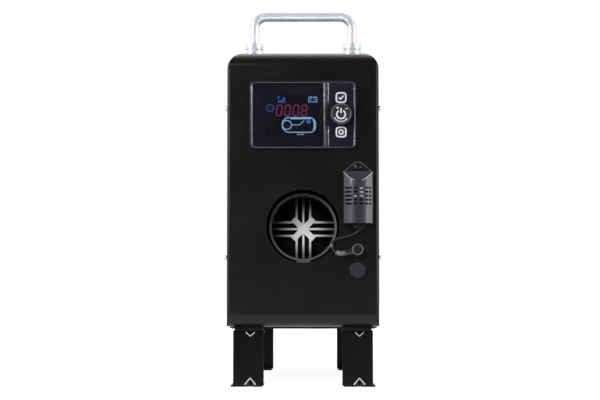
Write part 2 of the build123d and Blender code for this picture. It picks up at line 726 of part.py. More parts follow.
# ---------------------------------------------------------------- sensor cord and its plug
# The cord's route as x, depth, z: from the end of the plug's strain relief to the pod's gland.
CORD_ROUTE = (
    (32.70, -8.2, 133.95),
    (30.33, -8.0, 135.60),
    (28.90, -7.4, 138.50),
    (28.85, -6.6, 141.40),
    (30.20, -5.9, 144.55),
    (33.20, -5.5, 147.20),
    (38.20, -5.6, 148.80),
    (43.50, -6.3, 149.30),
    (48.20, -7.2, 151.00),
    (51.90, -7.9, 153.10),
    (55.20, -8.4, 155.70),
)
cord_points = [Vector(x, FRONT_Y + depth, z) for x, depth, z in CORD_ROUTE]


def cord_radii(points):
    """Radius of the arc at each inner point: as large as its two runs allow."""
    radii = []
    for before, here, after in zip(points, points[1:], points[2:]):
        shorter = min((here - before).length, (after - here).length)
        turn = math.radians((here - before).get_angle(after - here))
        radii.append(0.45 * shorter / math.tan(turn / 2))
    return radii


bend_radii = cord_radii(cord_points)
print("sensor cord radii", [round(radius, 1) for radius in bend_radii])

with BuildPart() as sensor_cord:
    with BuildLine():
        route = FilletPolyline(*cord_points, radius=bend_radii)
    with BuildSketch(Plane(origin=cord_points[0], z_dir=cord_points[1] - cord_points[0])):
        Circle(CORD_DIAMETER / 2)
    sweep()
cord_volume = math.pi * CORD_DIAMETER**2 / 4 * route.length
print("sensor cord length", round(route.length, 1))
print("sensor cord volume over section times length", round(sensor_cord.part.volume / cord_volume, 4))
write(sensor_cord.part, "sensor_cord")

with BuildPart() as sensor_gland:
    gland_end = cord_points[-1]
    gland_way = (cord_points[-1] - cord_points[-2]).normalized()
    with BuildSketch(behind(-4)):
        with Locations((55.7, (157 + POD_BOTTOM) / 2)):
            RectangleRounded(12, POD_BOTTOM - 157, 1.2)
    extrude(amount=9)
    with BuildSketch(Plane(origin=gland_end, z_dir=gland_way)):
        Circle(1.8)
    extrude(amount=3.6)
write(sensor_gland.part, "sensor_gland")

tilt = math.radians(PLUG_TILT)
plug_way = Vector(-math.cos(tilt), 0, -math.sin(tilt))
plug_head = Vector(JACK_X, FRONT_Y + PLUG_DEPTH, JACK_Z)


def across_plug(distance):
    """Plane square to the plug's body, distance from the middle of its head."""
    return Plane(origin=plug_head + plug_way * distance, x_dir=(0, 1, 0), z_dir=plug_way)


PLUG_BODY_END = 12.3
RELIEF_RIBS = 7
RELIEF_GROOVE = 1.55
relief_start = plug_head + plug_way * PLUG_BODY_END
relief_way = (cord_points[0] - cord_points[1]).normalized()
relief_line = TangentArc(cord_points[0], relief_start, tangent=relief_way)


def relief_section(along, radius):
    """Circle square to the strain relief, at a share of its length from the cord's end."""
    square_on = Plane(origin=relief_line @ along, x_dir=(0, 1, 0), z_dir=relief_line % along)
    with BuildSketch(square_on) as section:
        Circle(radius)
    return section.sketch


with BuildPart() as jack_plug:
    with BuildSketch(behind(-3.2)):
        with Locations((JACK_X, JACK_Z)):
            Circle(5.5)
    extrude(amount=9.4)
    chamfer(faces().sort_by(Axis.Y)[0].edges(), length=1.1)
    with BuildSketch(across_plug(2)):
        RectangleRounded(7.4, 7.2, 2.2)
    with BuildSketch(across_plug(PLUG_BODY_END)):
        RectangleRounded(5.8, 5.8, 2.2)
    loft(ruled=True)
    relief_sections = [relief_section(0, RELIEF_GROOVE)]
    for rib in range(RELIEF_RIBS):
        crest = 1.95 + 0.5 * rib / RELIEF_RIBS
        for share, radius in ((0.12, RELIEF_GROOVE), (0.22, crest), (0.78, crest), (0.88, RELIEF_GROOVE)):
            relief_sections.append(relief_section((rib + share) / RELIEF_RIBS, radius))
    with BuildSketch(across_plug(PLUG_BODY_END - 1)) as relief_root:
        Circle(RELIEF_GROOVE)
    loft(sections=relief_sections + [relief_root.sketch], ruled=True)
    with BuildSketch(behind(-3.2)):
        with Locations((JACK_X, JACK_Z)):
            Circle(1.75)
    extrude(amount=-13)
write(jack_plug.part, "jack_plug")

with BuildPart() as jack_socket:
    with BuildSketch(behind(SHEET + 0.1)):
        with Locations((JACK_X, JACK_Z)):
            Rectangle(10, 10)
    extrude(amount=-12)
    with BuildSketch(behind(SHEET + 0.1)):
        with Locations((JACK_X, JACK_Z)):
            Circle(3.0)
    extrude(amount=4.2)
    with BuildSketch(behind(-3)):
        with Locations((JACK_X, JACK_Z)):
            Circle(1.8)
    extrude(amount=-14, mode=Mode.SUBTRACT)
write(jack_socket.part, "jack_socket")

with BuildPart() as jack_nut:
    with BuildSketch(behind(0)):
        with Locations((JACK_X, JACK_Z)):
            RegularPolygon(4.9, 6)
            Circle(3.05, mode=Mode.SUBTRACT)
    extrude(amount=2.2)
write(jack_nut.part, "jack_nut")

with BuildPart() as hole_plug:
    with BuildSketch(behind(0)):
        with Locations((JACK_X, PLUG_Z)):
            Circle(7.85)
    extrude(amount=1.8)
    chamfer(faces().sort_by(Axis.Y)[0].edges(), length=0.7)
    with BuildSketch(behind(0)):
        with Locations((JACK_X, PLUG_Z)):
            Circle(PLUG_HOLE - 0.1)
    extrude(amount=-4.5)
    with BuildSketch(behind(SHEET + 0.2)):
        with Locations((JACK_X, PLUG_Z)):
            Circle(PLUG_HOLE + 0.6)
    extrude(amount=-1.4, taper=20)
write(hole_plug.part, "hole_plug")

# ---------------------------------------------------------------- heater core: air outlet hood
with BuildPart() as outlet_hood:
    with BuildSketch(core_profile()):
        Polygon(
            (HOOD_FRONT, HOOD_BORE), (HOOD_FRONT, HOOD_RADIUS), (HOOD_NECK, HOOD_RADIUS),
            (78, SHELL_RADIUS - 1), (82, SHELL_RADIUS - 1), (82, SHELL_BORE - 1),
            (79.2, SHELL_BORE - 1), (HOOD_NECK + 1.4, HOOD_BORE), align=None,
        )
    revolve(axis=CORE_AXIS)
    with BuildSketch(behind(HOOD_FRONT)):
        with Locations((0, CORE_Z - HOOD_RADIUS)):
            Rectangle(14, 5)
        with Locations((0, CORE_Z)):
            Circle((HOOD_RADIUS + HOOD_BORE) / 2, mode=Mode.SUBTRACT)
    extrude(amount=-6)
write(outlet_hood.part, "outlet_hood")

# ---------------------------------------------------------------- heater core: heat exchanger
with BuildPart() as heat_exchanger:
    with BuildSketch(core_profile()):
        Polygon(
            (DOME_FRONT, 0), (DOME_FRONT + 4, 22), (DOME_FRONT + 18, TUBE_RADIUS), (TUBE_BACK, TUBE_RADIUS),
            (TUBE_BACK, 50), (TUBE_BACK + 4, 50), (TUBE_BACK + 4, 0), align=None,
        )
    revolve(axis=CORE_AXIS)
    for quarter in range(4):
        middle_fin = core_profile(quarter * math.pi / 2)
        with BuildSketch(*[middle_fin.offset(place) for place in (-FIN_PITCH, 0, FIN_PITCH)]):
            with BuildLine():
                nose = (FIN_FRONT, 16)
                shoulder = (FIN_FRONT + 24, FIN_REACH)
                ThreePointArc(nose, (FIN_FRONT + 5.5, 35), shoulder)
                heel = (TUBE_BACK, FIN_REACH)
                Polyline(shoulder, heel, (TUBE_BACK, FIN_ROOT), (FIN_FRONT, FIN_ROOT), nose)
            make_face()
        extrude(amount=FIN_THICKNESS / 2, both=True)
    with BuildSketch(behind(FIN_FRONT - CROSS_PROUD)):
        with Locations((0, CORE_Z)):
            Rectangle(30, 6, rotation=45)
            Rectangle(30, 6, rotation=-45)
    extrude(amount=FIN_FRONT - CROSS_PROUD - DOME_FRONT - 4)
    with BuildSketch(Plane.XY.offset(FOOT_Z)):
        with Locations((0, FRONT_Y + EXCHANGER_FOOT_BACK - 40)):
            RectangleRounded(70, 80, 8)
    extrude(amount=CORE_Z - FOOT_Z - 20)
    with BuildSketch(core_profile()):
        Polygon(
            (DOME_FRONT + 4, 0), (DOME_FRONT + 7.5, 20), (DOME_FRONT + 21, TUBE_BORE),
            (TUBE_BACK + 4, TUBE_BORE), (TUBE_BACK + 4, 0), align=None,
        )
    revolve(axis=CORE_AXIS, mode=Mode.SUBTRACT)
    with BuildSketch(Plane.XY.offset(FOOT_Z)):
        with Locations((EXHAUST_X, FRONT_Y + EXHAUST_DEPTH), (INTAKE_X, FRONT_Y + INTAKE_DEPTH)):
            Circle(9)
    extrude(amount=35, mode=Mode.SUBTRACT)
    with BuildSketch(Plane.XY.offset(CORE_Z)):
        with Locations((0, FRONT_Y + 196)):
            Circle(3.6)
    extrude(amount=60, mode=Mode.SUBTRACT)
write(heat_exchanger.part, "heat_exchanger")

# ---------------------------------------------------------------- heater core: burner and blower
with BuildPart() as burner:
    with BuildSketch(behind(TUBE_BACK + 4.1)):
        with Locations((0, CORE_Z)):
            Circle(49)
            Circle(8, mode=Mode.SUBTRACT)
    extrude(amount=-3)
    with BuildSketch(behind(TUBE_BACK + 4.1)):
        with Locations((0, CORE_Z)):
            Circle(26)
            Circle(24.4, mode=Mode.SUBTRACT)
    extrude(amount=64)
    with BuildSketch(behind(160)):
        with Locations((0, CORE_Z)):
            with PolarLocations(25, 8, start_angle=22.5):
                Rectangle(8, 3)
    extrude(amount=-12, mode=Mode.SUBTRACT)
    with BuildSketch(Plane.XY.offset(CORE_Z)):
        with Locations((0, FRONT_Y + 196)):
            Circle(3.4)
    extrude(amount=40, mode=Mode.SUBTRACT)
write(burner.part, "burner")

with BuildPart() as glow_plug:
    with BuildSketch(Plane.XY.offset(CORE_Z + 17)):
        with Locations((0, FRONT_Y + 196)):
            Circle(2.6)
    extrude(amount=20)
    with BuildSketch(Plane.XY.offset(CORE_Z + 37)):
        with Locations((0, FRONT_Y + 196)):
            Circle(3.3)
    extrude(amount=10)
    with BuildSketch(Plane.XY.offset(CORE_Z + 47)):
        with Locations((0, FRONT_Y + 196)):
            Circle(1.2)
    extrude(amount=5)
write(glow_plug.part, "glow_plug")

with BuildPart() as blower_housing:
    with BuildSketch(core_profile()):
        Polygon(
            (212.3, 45), (212.3, 48), (236, 48), (236, 6), (232, 6), (232, 45), align=None
        )
    revolve(axis=CORE_AXIS)
write(blower_housing.part, "blower_housing")

with BuildPart() as blower_motor:
    with BuildSketch(core_profile()):
        Polygon(
            (236.1, SHAFT_RADIUS + 0.05), (236.1, 19), (280, 19), (284, 15), (284, 6), (288, 6),
            (288, SHAFT_RADIUS + 0.05), align=None,
        )
    revolve(axis=CORE_AXIS)
write(blower_motor.part, "blower_motor")

with BuildPart() as motor_shaft:
    with BuildSketch(behind(214.5)):
        with Locations((0, CORE_Z)):
            Circle(SHAFT_RADIUS)
    extrude(amount=-103)
write(motor_shaft.part, "motor_shaft")

with BuildPart() as combustion_fan:
    with BuildSketch(core_profile()):
        Polygon(
            (217, SHAFT_RADIUS), (217, 8), (226, 8), (226, 38), (228.5, 38), (228.5, SHAFT_RADIUS),
            align=None,
        )
    revolve(axis=CORE_AXIS)
    with BuildSketch(behind(226.5)):
        with Locations((0, CORE_Z)):
            with PolarLocations(29, 12):
                Rectangle(17, 1.6)
    extrude(amount=8)
write(combustion_fan.part, "combustion_fan")

with BuildPart() as air_impeller:
    for blade in range(7):
        turn = 2 * math.pi * blade / 7
        outwards = Vector(math.cos(turn), 0, math.sin(turn))
        root = Vector(0, FRONT_Y + 303, CORE_Z) + outwards * 14
        with BuildSketch(Plane(origin=root, x_dir=(0, 1, 0), z_dir=outwards)):
            with BuildLine():
                ThreePointArc((-9.5, -9), (-1.5, 1.5), (10, 7.5))
                Line((10, 7.5), (9.2, 8.9))
                ThreePointArc((9.2, 8.9), (-2.6, 3.0), (-10.8, -8.2))
                Line((-10.8, -8.2), (-9.5, -9))
            make_face()
        extrude(amount=35)
    with BuildSketch(core_profile()):
        Polygon(
            (290, SHAFT_RADIUS), (290, 16), (312, 16), (316, 11), (316, SHAFT_RADIUS), align=None
        )
    revolve(axis=CORE_AXIS)
write(air_impeller.part, "air_impeller")

with BuildPart() as control_unit:
    with BuildSketch(behind(242)):
        with Locations((0, CORE_Z + 32)):
            Rectangle(54, 16)
    extrude(amount=-44)
    with BuildSketch(behind(242)):
        with Locations((-14, CORE_Z + 32), (14, CORE_Z + 32)):
            Rectangle(16, 9)
    extrude(amount=4)
write(control_unit.part, "control_unit")

with BuildPart() as core_intake_guard:
    with BuildSketch(behind(SHELL_BACK + 0.2)):
        with Locations((0, CORE_Z)):
            Circle(SHELL_RADIUS)
            Circle(SHELL_BORE - 2.5, mode=Mode.SUBTRACT)
            for radius in (38, 22):
                Circle(radius)
                Circle(radius - 2, mode=Mode.SUBTRACT)
            for turn in (0, 60, 120):
                Rectangle(2 * SHELL_BORE - 2, 2.4, rotation=turn)
    extrude(amount=-4)
write(core_intake_guard.part, "core_intake_guard")


# ---------------------------------------------------------------- heater core: shells and foot
def half_shell(side):
    """Upper (side 1) or lower (side -1) half of the plastic casing round the core."""
    with BuildPart() as shell:
        with BuildSketch(behind(SHELL_FRONT)):
            with Locations((0, CORE_Z)):
                Circle(SHELL_RADIUS)
                Circle(SHELL_BORE, mode=Mode.SUBTRACT)
            with Locations((0, CORE_Z - side * SHELL_RADIUS)):
                Rectangle(3 * SHELL_RADIUS, 2 * SHELL_RADIUS, mode=Mode.SUBTRACT)
        extrude(amount=SHELL_FRONT - SHELL_BACK)
        if side < 0:
            with BuildSketch(Plane.XY.offset(CORE_Z - SHELL_RADIUS - 1)):
                with Locations((0, FRONT_Y + 152)):
                    RectangleRounded(71, 81, 8.5)
            extrude(amount=20, mode=Mode.SUBTRACT)
    return shell.part


write(half_shell(1), "core_shell_upper")
write(half_shell(-1), "core_shell_lower")

with BuildPart() as core_gasket:
    with BuildSketch(Plane.XY.offset(BRACKET_TOP)):
        with Locations((0, FRONT_Y + 152)):
            RectangleRounded(74, 84, 8)
        with Locations((EXHAUST_X, FRONT_Y + EXHAUST_DEPTH), (INTAKE_X, FRONT_Y + INTAKE_DEPTH)):
            Circle(16.5, mode=Mode.SUBTRACT)
    extrude(amount=FOOT_Z - BRACKET_TOP)
write(core_gasket.part, "core_gasket")

with BuildPart() as core_bracket:
    with BuildSketch(behind(97)):
        foot_z = CASE_BOTTOM + BASE_SHEET
        Polygon(
            (-64, foot_z), (-64, foot_z + 2), (-48, foot_z + 2), (-48, BRACKET_TOP), (48, BRACKET_TOP),
            (48, foot_z + 2), (64, foot_z + 2), (64, foot_z), (46, foot_z), (46, BRACKET_TOP - 2),
            (-46, BRACKET_TOP - 2), (-46, foot_z), align=None,
        )
    extrude(amount=-110)
    with BuildSketch(Plane.XY.offset(BRACKET_TOP)):
        with Locations((EXHAUST_X, FRONT_Y + EXHAUST_DEPTH), (INTAKE_X, FRONT_Y + INTAKE_DEPTH)):
            Circle(16.5)
    extrude(amount=-3, mode=Mode.SUBTRACT)
write(core_bracket.part, "core_bracket")


def stub(x, depth, radius):
    """Pipe stub with a collar against the core's foot, for a hose or exhaust pipe to clamp on."""
    with BuildPart() as pipe:
        with BuildSketch(Plane.XY.offset(STUB_BOTTOM)):
            with Locations((x, FRONT_Y + depth)):
                Circle(radius)
        extrude(amount=FOOT_Z - STUB_BOTTOM)
        with BuildSketch(Plane.XY.offset(STUB_BEAD_Z)):
            with Locations((x, FRONT_Y + depth)):
                Circle(16)
        extrude(amount=FOOT_Z - STUB_BEAD_Z)
        with BuildSketch(Plane.XY.offset(STUB_BOTTOM)):
            with Locations((x, FRONT_Y + depth)):
                Circle(radius - 1.5)
        extrude(amount=FOOT_Z - STUB_BOTTOM, mode=Mode.SUBTRACT)
    return pipe.part


write(stub(EXHAUST_X, EXHAUST_DEPTH, 12.0), "exhaust_stub")
write(stub(INTAKE_X, INTAKE_DEPTH, 10.5), "combustion_air_stub")


# ---------------------------------------------------------------- fuel tank and cap
def tank_form(inset):
    """Rounded block of the tank, moved in by inset."""
    with BuildPart() as block:
        with BuildSketch(Plane.XY.offset(TANK_BOTTOM + inset)):
            with Locations((0, FRONT_Y + (TANK_FRONT + TANK_BACK) / 2)):
                RectangleRounded(
                    2 * (TANK_HALF_WIDTH - inset), TANK_BACK - TANK_FRONT - 2 * inset, 16 - inset
                )
        extrude(amount=TANK_TOP - TANK_BOTTOM - 2 * inset)
        chamfer(faces().sort_by(Axis.Z)[-1].edges() + faces().sort_by(Axis.Z)[0].edges(), length=5)
    return block.part


with BuildPart() as fuel_tank:
    add(tank_form(0))
    with BuildSketch(Plane.XY.offset(TANK_TOP)):
        with Locations((0, FRONT_Y + FILLER_DEPTH)):
            Circle(NECK_RADIUS)
    extrude(amount=NECK_TOP - TANK_TOP)
    with BuildSketch(Plane.XY.offset(TANK_BOTTOM)):
        with Locations((-48, FRONT_Y + TANK_OUTLET_DEPTH)):
            Circle(3.5)
    extrude(amount=-TANK_OUTLET)
    add(tank_form(TANK_WALL), mode=Mode.SUBTRACT)
    with BuildSketch(Plane.XY.offset(TANK_TOP - 2 * TANK_WALL)):
        with Locations((0, FRONT_Y + FILLER_DEPTH)):
            Circle(NECK_BORE)
    extrude(amount=NECK_TOP - TANK_TOP + 2 * TANK_WALL, mode=Mode.SUBTRACT)
write(fuel_tank.part, "fuel_tank")

filler_axis = Axis((0, FRONT_Y + FILLER_DEPTH, 0), (0, 0, 1))
filler_profile = Plane(origin=(0, FRONT_Y + FILLER_DEPTH, 0), x_dir=(1, 0, 0), z_dir=(0, -1, 0))

with BuildPart() as filler_cap:
    with BuildSketch(filler_profile):
        Polygon(
            (0, NECK_TOP + 4), (14, NECK_TOP + 4), (14, NECK_TOP + 1.5),
            (NECK_RADIUS + 0.4, NECK_TOP + 1.5), (NECK_RADIUS + 0.4, CAP_BOTTOM),
            (CAP_RADIUS, CAP_BOTTOM), (CAP_RADIUS, CAP_TOP - 3), (CAP_RADIUS - 1.4, CAP_TOP - 3),
            (CAP_RADIUS - 2.6, CAP_TOP), (0, CAP_TOP), align=None,
        )
    revolve(axis=filler_axis)
    with BuildSketch(Plane.XY.offset(CAP_BOTTOM)):
        with Locations((0, FRONT_Y + FILLER_DEPTH)):
            with PolarLocations(CAP_RADIUS + 1.2, 18):
                Circle(2.2)
    extrude(amount=CAP_TOP - CAP_BOTTOM, mode=Mode.SUBTRACT)
write(filler_cap.part, "filler_cap")

with BuildPart() as cap_seal:
    with BuildSketch(Plane.XY.offset(NECK_TOP + 0.02)):
        with Locations((0, FRONT_Y + FILLER_DEPTH)):
            Circle(NECK_RADIUS)
            Circle(15, mode=Mode.SUBTRACT)
    extrude(amount=1.46)
write(cap_seal.part, "cap_seal")

# ---------------------------------------------------------------- fuel system
FUEL_X = -48.0
FUEL_Z = 102.2
PUMP_FRONT = 226.0
FILTER_BACK = 324.0
NIPPLE = 4.0  # each end of the pump and filter has a nipple this long for the line


def fuel_body(front, length, radius):
    """Cylinder along the fuel line with a nipple at each end."""
    with BuildPart() as body:
        with BuildSketch(behind(front)):
            with Locations((FUEL_X, FUEL_Z)):
                Circle(radius)
        extrude(amount=-length)
        with BuildSketch(behind(front - NIPPLE)):
            with Locations((FUEL_X, FUEL_Z)):
                Circle(LINE_RADIUS)
        extrude(amount=-(length + 2 * NIPPLE))
    return body.part


write(fuel_body(FILTER_BACK - 24, 24, 9), "fuel_filter")

with BuildPart() as fuel_pump:
    add(fuel_body(PUMP_FRONT, 58, 14))
    with BuildSketch(behind(PUMP_FRONT + 36)):
        with Locations((FUEL_X, FUEL_Z - 16)):
            Rectangle(12, 10)
    extrude(amount=-18)
write(fuel_pump.part, "fuel_pump")

with BuildPart() as pump_holder:
    with BuildSketch(behind(PUMP_FRONT + 8)):
        with Locations((FUEL_X, FUEL_Z)):
            Circle(18)
        foot_z = CASE_BOTTOM + BASE_SHEET
        with Locations((FUEL_X, (FUEL_Z + foot_z) / 2)):
            Rectangle(30, FUEL_Z - foot_z)
        with Locations((FUEL_X, FUEL_Z)):
            Circle(14.1, mode=Mode.SUBTRACT)
    extrude(amount=-22)
write(pump_holder.part, "pump_holder")


def pipe_run(points, bend):
    """Nylon fuel line through points given as x, depth, z."""
    places = [Vector(x, FRONT_Y + depth, z) for x, depth, z in points]
    with BuildPart() as pipe:
        with BuildLine():
            if bend:
                FilletPolyline(*places, radius=bend)
            else:
                Line(*places)
        with BuildSketch(Plane(origin=places[0], z_dir=places[1] - places[0])):
            Circle(LINE_RADIUS)
        sweep()
    return pipe.part


tank_line = (
    (FUEL_X, TANK_OUTLET_DEPTH, TANK_BOTTOM - TANK_OUTLET), (FUEL_X, TANK_OUTLET_DEPTH, FUEL_Z),
    (FUEL_X, FILTER_BACK + NIPPLE, FUEL_Z),
)
link_line = ((FUEL_X, FILTER_BACK - 24 - NIPPLE, FUEL_Z), (FUEL_X, PUMP_FRONT + 58 + NIPPLE, FUEL_Z))
core_line = (
    (FUEL_X, PUMP_FRONT - NIPPLE, FUEL_Z), (FUEL_X, PUMP_FRONT - 10, FUEL_Z), (-20, 200, FUEL_Z),
    (-20, EXCHANGER_FOOT_BACK, FUEL_Z),
)
with BuildPart() as fuel_lines:
    add(pipe_run(tank_line, 9.0))
    add(pipe_run(link_line, 0))
    add(pipe_run(core_line, 5.0))
write(fuel_lines.part, "fuel_lines")

# ---------------------------------------------------------------- power gland
with BuildPart() as power_gland:
    outside = behind(CASE_DEPTH)
    with BuildSketch(outside):
        with Locations((GLAND_X, GLAND_Z)):
            RegularPolygon(11, 6)
    extrude(amount=-6)
    with BuildSketch(behind(CASE_DEPTH + 6)):
        with Locations((GLAND_X, GLAND_Z)):
            Circle(8.5)
    extrude(amount=-(GLAND_REACH - 6), taper=12)
    with BuildSketch(outside):
        with Locations((GLAND_X, GLAND_Z)):
            Circle(8.0)
    extrude(amount=8)
    with BuildSketch(behind(CASE_DEPTH - SHEET)):
        with Locations((GLAND_X, GLAND_Z)):
            RegularPolygon(10.5, 6)
    extrude(amount=4)
    with BuildSketch(behind(CASE_DEPTH + GLAND_REACH)):
        with Locations((GLAND_X, GLAND_Z)):
            Circle(4.0)
    extrude(amount=GLAND_REACH + 8, mode=Mode.SUBTRACT)
write(power_gland.part, "power_gland")
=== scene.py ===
import json
import math

import bmesh
import bpy
from mathutils import Euler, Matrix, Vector

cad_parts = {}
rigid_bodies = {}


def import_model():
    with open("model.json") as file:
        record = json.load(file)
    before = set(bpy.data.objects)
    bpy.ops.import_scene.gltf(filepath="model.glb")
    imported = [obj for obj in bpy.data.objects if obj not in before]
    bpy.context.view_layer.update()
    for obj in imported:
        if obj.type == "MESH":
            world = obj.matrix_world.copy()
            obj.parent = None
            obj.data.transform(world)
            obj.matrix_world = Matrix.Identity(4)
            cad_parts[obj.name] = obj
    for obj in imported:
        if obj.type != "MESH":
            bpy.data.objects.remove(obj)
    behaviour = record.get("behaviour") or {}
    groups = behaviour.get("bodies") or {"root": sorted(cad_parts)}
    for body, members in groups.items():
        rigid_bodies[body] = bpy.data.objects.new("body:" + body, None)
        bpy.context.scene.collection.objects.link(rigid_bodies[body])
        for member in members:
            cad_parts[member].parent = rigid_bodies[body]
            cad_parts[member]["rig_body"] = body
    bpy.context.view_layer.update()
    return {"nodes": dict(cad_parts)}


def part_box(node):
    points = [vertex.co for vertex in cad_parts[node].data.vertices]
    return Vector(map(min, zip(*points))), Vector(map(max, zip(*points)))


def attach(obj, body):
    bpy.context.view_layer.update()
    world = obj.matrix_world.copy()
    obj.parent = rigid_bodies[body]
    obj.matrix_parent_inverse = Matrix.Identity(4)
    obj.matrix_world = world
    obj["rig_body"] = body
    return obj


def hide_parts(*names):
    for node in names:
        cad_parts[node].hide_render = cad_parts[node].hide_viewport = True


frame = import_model()

bl_info = {
    "name": "Portable Diesel Air Heater",
    "version": (1, 0, 0),
    "blender": (4, 5, 0),
    "location": "View3D > Sidebar > Air Heater",
    "description": "Dresses an all-in-one diesel air heater: case, handles, controller, sensor and core",
    "category": "Object",
}

MM = 0.001
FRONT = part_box("front_panel")[0].y  # outer face of the front panel
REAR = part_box("rear_panel")[1].y
CASE_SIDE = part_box("cover")[1].x
CASE_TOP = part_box("cover")[1].z
TOWARDS_VIEWER = Vector((0, -1, 0))
UPWARDS = Vector((0, 0, 1))
CAMERA_PLACE = (0.011, -1.742, 0.0926)
CAMERA_PITCH, CAMERA_TURN = 3.455, 0.515  # degrees, upwards and to the left

# Places and sizes in mm, as the CAD has them. Depths are counted back from the front panel's outer face.
CORE_Z = 159.9  # the heater core's axis
KEY_X = 38.0
KNOB_Z = 270.3
KEYS = {"ok_button": 287.5, "settings_button": 253.1}
COVER_CORNER = (60.65, 318.65)  # centre of the cover's upper right corner
SCREW_INSET = 16
SCREW_HEIGHTS = (128.7, 279.2)
BOLT_SETBACKS = (29, 39)
FERRULE_INSET = 5  # from a handle's side to its ferrule's axis
LEG_CENTRE = 54.5
LEG_HEIGHT = 56
LEG_SETBACK = 14
LEG_SHEET = 2
LEG_BEND = 3
DART_ZONE = (4.6, 7.4)  # a dart's points lie this close to the leg's middle and to its bend
DART_SHIFT = 1.8  # both darts of a leg lie this far to the right of its middle
DARTS = ((True, 8.9, 1.2, 0.65, 2), (False, 5.5, 1.65, 0.4, 4))  # at the foot, reach, flare, radius of the painted glint strokes, bend points
PLUG = (54.15, 136.5)
RELIEF_BEND = (37.97, 141.52)  # centre of the arc that the plug's strain relief follows
RELIEF_RADIUS = 9.22
RELIEF_START, RELIEF_TURN = 235.15, 62.6  # degrees
RELIEF_DEPTH = -8.2
POD_SCREW = (54.55, -2.5, 218.7)
HIP_HEIGHTS = (204.6, 213.5)  # the pod's slope lies between them
HIP_DEPTH = -12.5
DISPLAY_DEPTHS = (-2.55, -2.42)
BEZEL_DEPTHS = (-5.3, -4.2)
KNOB_SIGN_DEPTHS = (-15.72, -15.5)
KEY_SIGN_DEPTHS = (-6.12, -5.9)
CROSSING = 0.01  # a stroke that crosses another stands this much further out

# The sensor cord's control points, in metres, from the plug's strain relief to the pod's gland.
CORD_ROUTE = (
    (0.03270, -0.2052, 0.13395),
    (0.03033, -0.2050, 0.13560),
    (0.02890, -0.2044, 0.13850),
    (0.02885, -0.2036, 0.14140),
    (0.03020, -0.2029, 0.14455),
    (0.03320, -0.2025, 0.14720),
    (0.03820, -0.2026, 0.14880),
    (0.04350, -0.2033, 0.14930),
    (0.04820, -0.2042, 0.15100),
    (0.05190, -0.2049, 0.15310),
    (0.05520, -0.2054, 0.15570),
)
CORD_DIAMETER = 0.0025


# ---------------------------------------------------------------- settings a user may change
class HeaterStageSettings(bpy.types.PropertyGroup):
    """Floor, light and camera round the heater."""

    floor_colour: bpy.props.FloatVectorProperty(
        name="Floor Colour", description="Colour of the studio floor",
        subtype="COLOR", size=3, min=0, max=1, default=(0.45, 0.45, 0.45))
    lens: bpy.props.FloatProperty(
        name="Lens", description="Focal length of the camera",
        unit="CAMERA", min=20, max=300, default=93.4)
    front_power: bpy.props.FloatProperty(
        name="Front Light", description="Power of the soft lamp over the camera",
        unit="POWER", min=0, max=200, default=31)
    key_power: bpy.props.FloatProperty(
        name="Side Light", description="Power of the lamp at the right",
        unit="POWER", min=0, max=200, default=6)
    fill_power: bpy.props.FloatProperty(
        name="Left Card", description="Power of the card at the left, which only gloss mirrors",
        unit="POWER", min=0, max=200, default=24)
    card_power: bpy.props.FloatProperty(
        name="Top Card", description="Power of the card behind and over the heater, which only gloss mirrors",
        unit="POWER", min=0, max=200, default=25)


class HeaterCaseSettings(bpy.types.PropertyGroup):
    """Colours and edges of the case, legs and handles."""

    coat_colour: bpy.props.FloatVectorProperty(
        name="Coat Colour", description="Powder coat of the case and legs",
        subtype="COLOR", size=3, min=0, max=1, default=(0.0032, 0.0031, 0.0038))
    coat_grain: bpy.props.FloatProperty(
        name="Coat Grain", description="Size of the grain in the powder coat",
        unit="LENGTH", subtype="DISTANCE", min=0.0001, max=0.003, default=0.0006)
    edge_round: bpy.props.FloatProperty(
        name="Edge Rounding", description="Radius of the broken edges of sheet metal",
        unit="LENGTH", subtype="DISTANCE", min=0, max=0.001, default=0.0003)
    rod_radius: bpy.props.FloatProperty(
        name="Rod Radius", description="Radius of the chromed handle rod",
        unit="LENGTH", subtype="DISTANCE", min=0.003, max=0.008, default=0.005)


class HeaterHardwareSettings(bpy.types.PropertyGroup):
    """Sizes of the screws and bolts."""

    head_radius: bpy.props.FloatProperty(
        name="Screw Head Radius", description="Radius of the pan heads at the sides",
        unit="LENGTH", subtype="DISTANCE", min=0.002, max=0.006, default=0.0034)
    head_height: bpy.props.FloatProperty(
        name="Screw Head Height", description="Height of the pan heads at the sides",
        unit="LENGTH", subtype="DISTANCE", min=0.001, max=0.004, default=0.0026)
    bolt_radius: bpy.props.FloatProperty(
        name="Bolt Head Radius", description="Radius of the hexagon heads over their corners",
        unit="LENGTH", subtype="DISTANCE", min=0.003, max=0.008, default=0.0046)


class HeaterControllerSettings(bpy.types.PropertyGroup):
    """Colours of the controller's plastic and display."""

    plastic_colour: bpy.props.FloatVectorProperty(
        name="Plastic Colour", description="Moulded plastic of the jack behind the panel",
        subtype="COLOR", size=3, min=0, max=1, default=(0.014, 0.014, 0.017))
    digit_colour: bpy.props.FloatVectorProperty(
        name="Digit Colour", description="Light of the display's digits",
        subtype="COLOR", size=3, min=0, max=1, default=(0.19, 0.016, 0.062))
    drawing_colour: bpy.props.FloatVectorProperty(
        name="Drawing Colour", description="Light of the display's heater drawing",
        subtype="COLOR", size=3, min=0, max=1, default=(0.20, 0.36, 0.54))
    glow: bpy.props.FloatProperty(
        name="Glow", description="Strength of the display's light",
        min=0, max=5, default=1.0)


# ---------------------------------------------------------------- nodes and their groups
def connect(tree, inputs, feeds):
    """Feeds inputs, by their names or numbers, with sockets or plain values."""
    for name, source in feeds.items():
        if isinstance(source, bpy.types.NodeSocket):
            tree.links.new(source, inputs[name])
        else:
            inputs[name].default_value = source


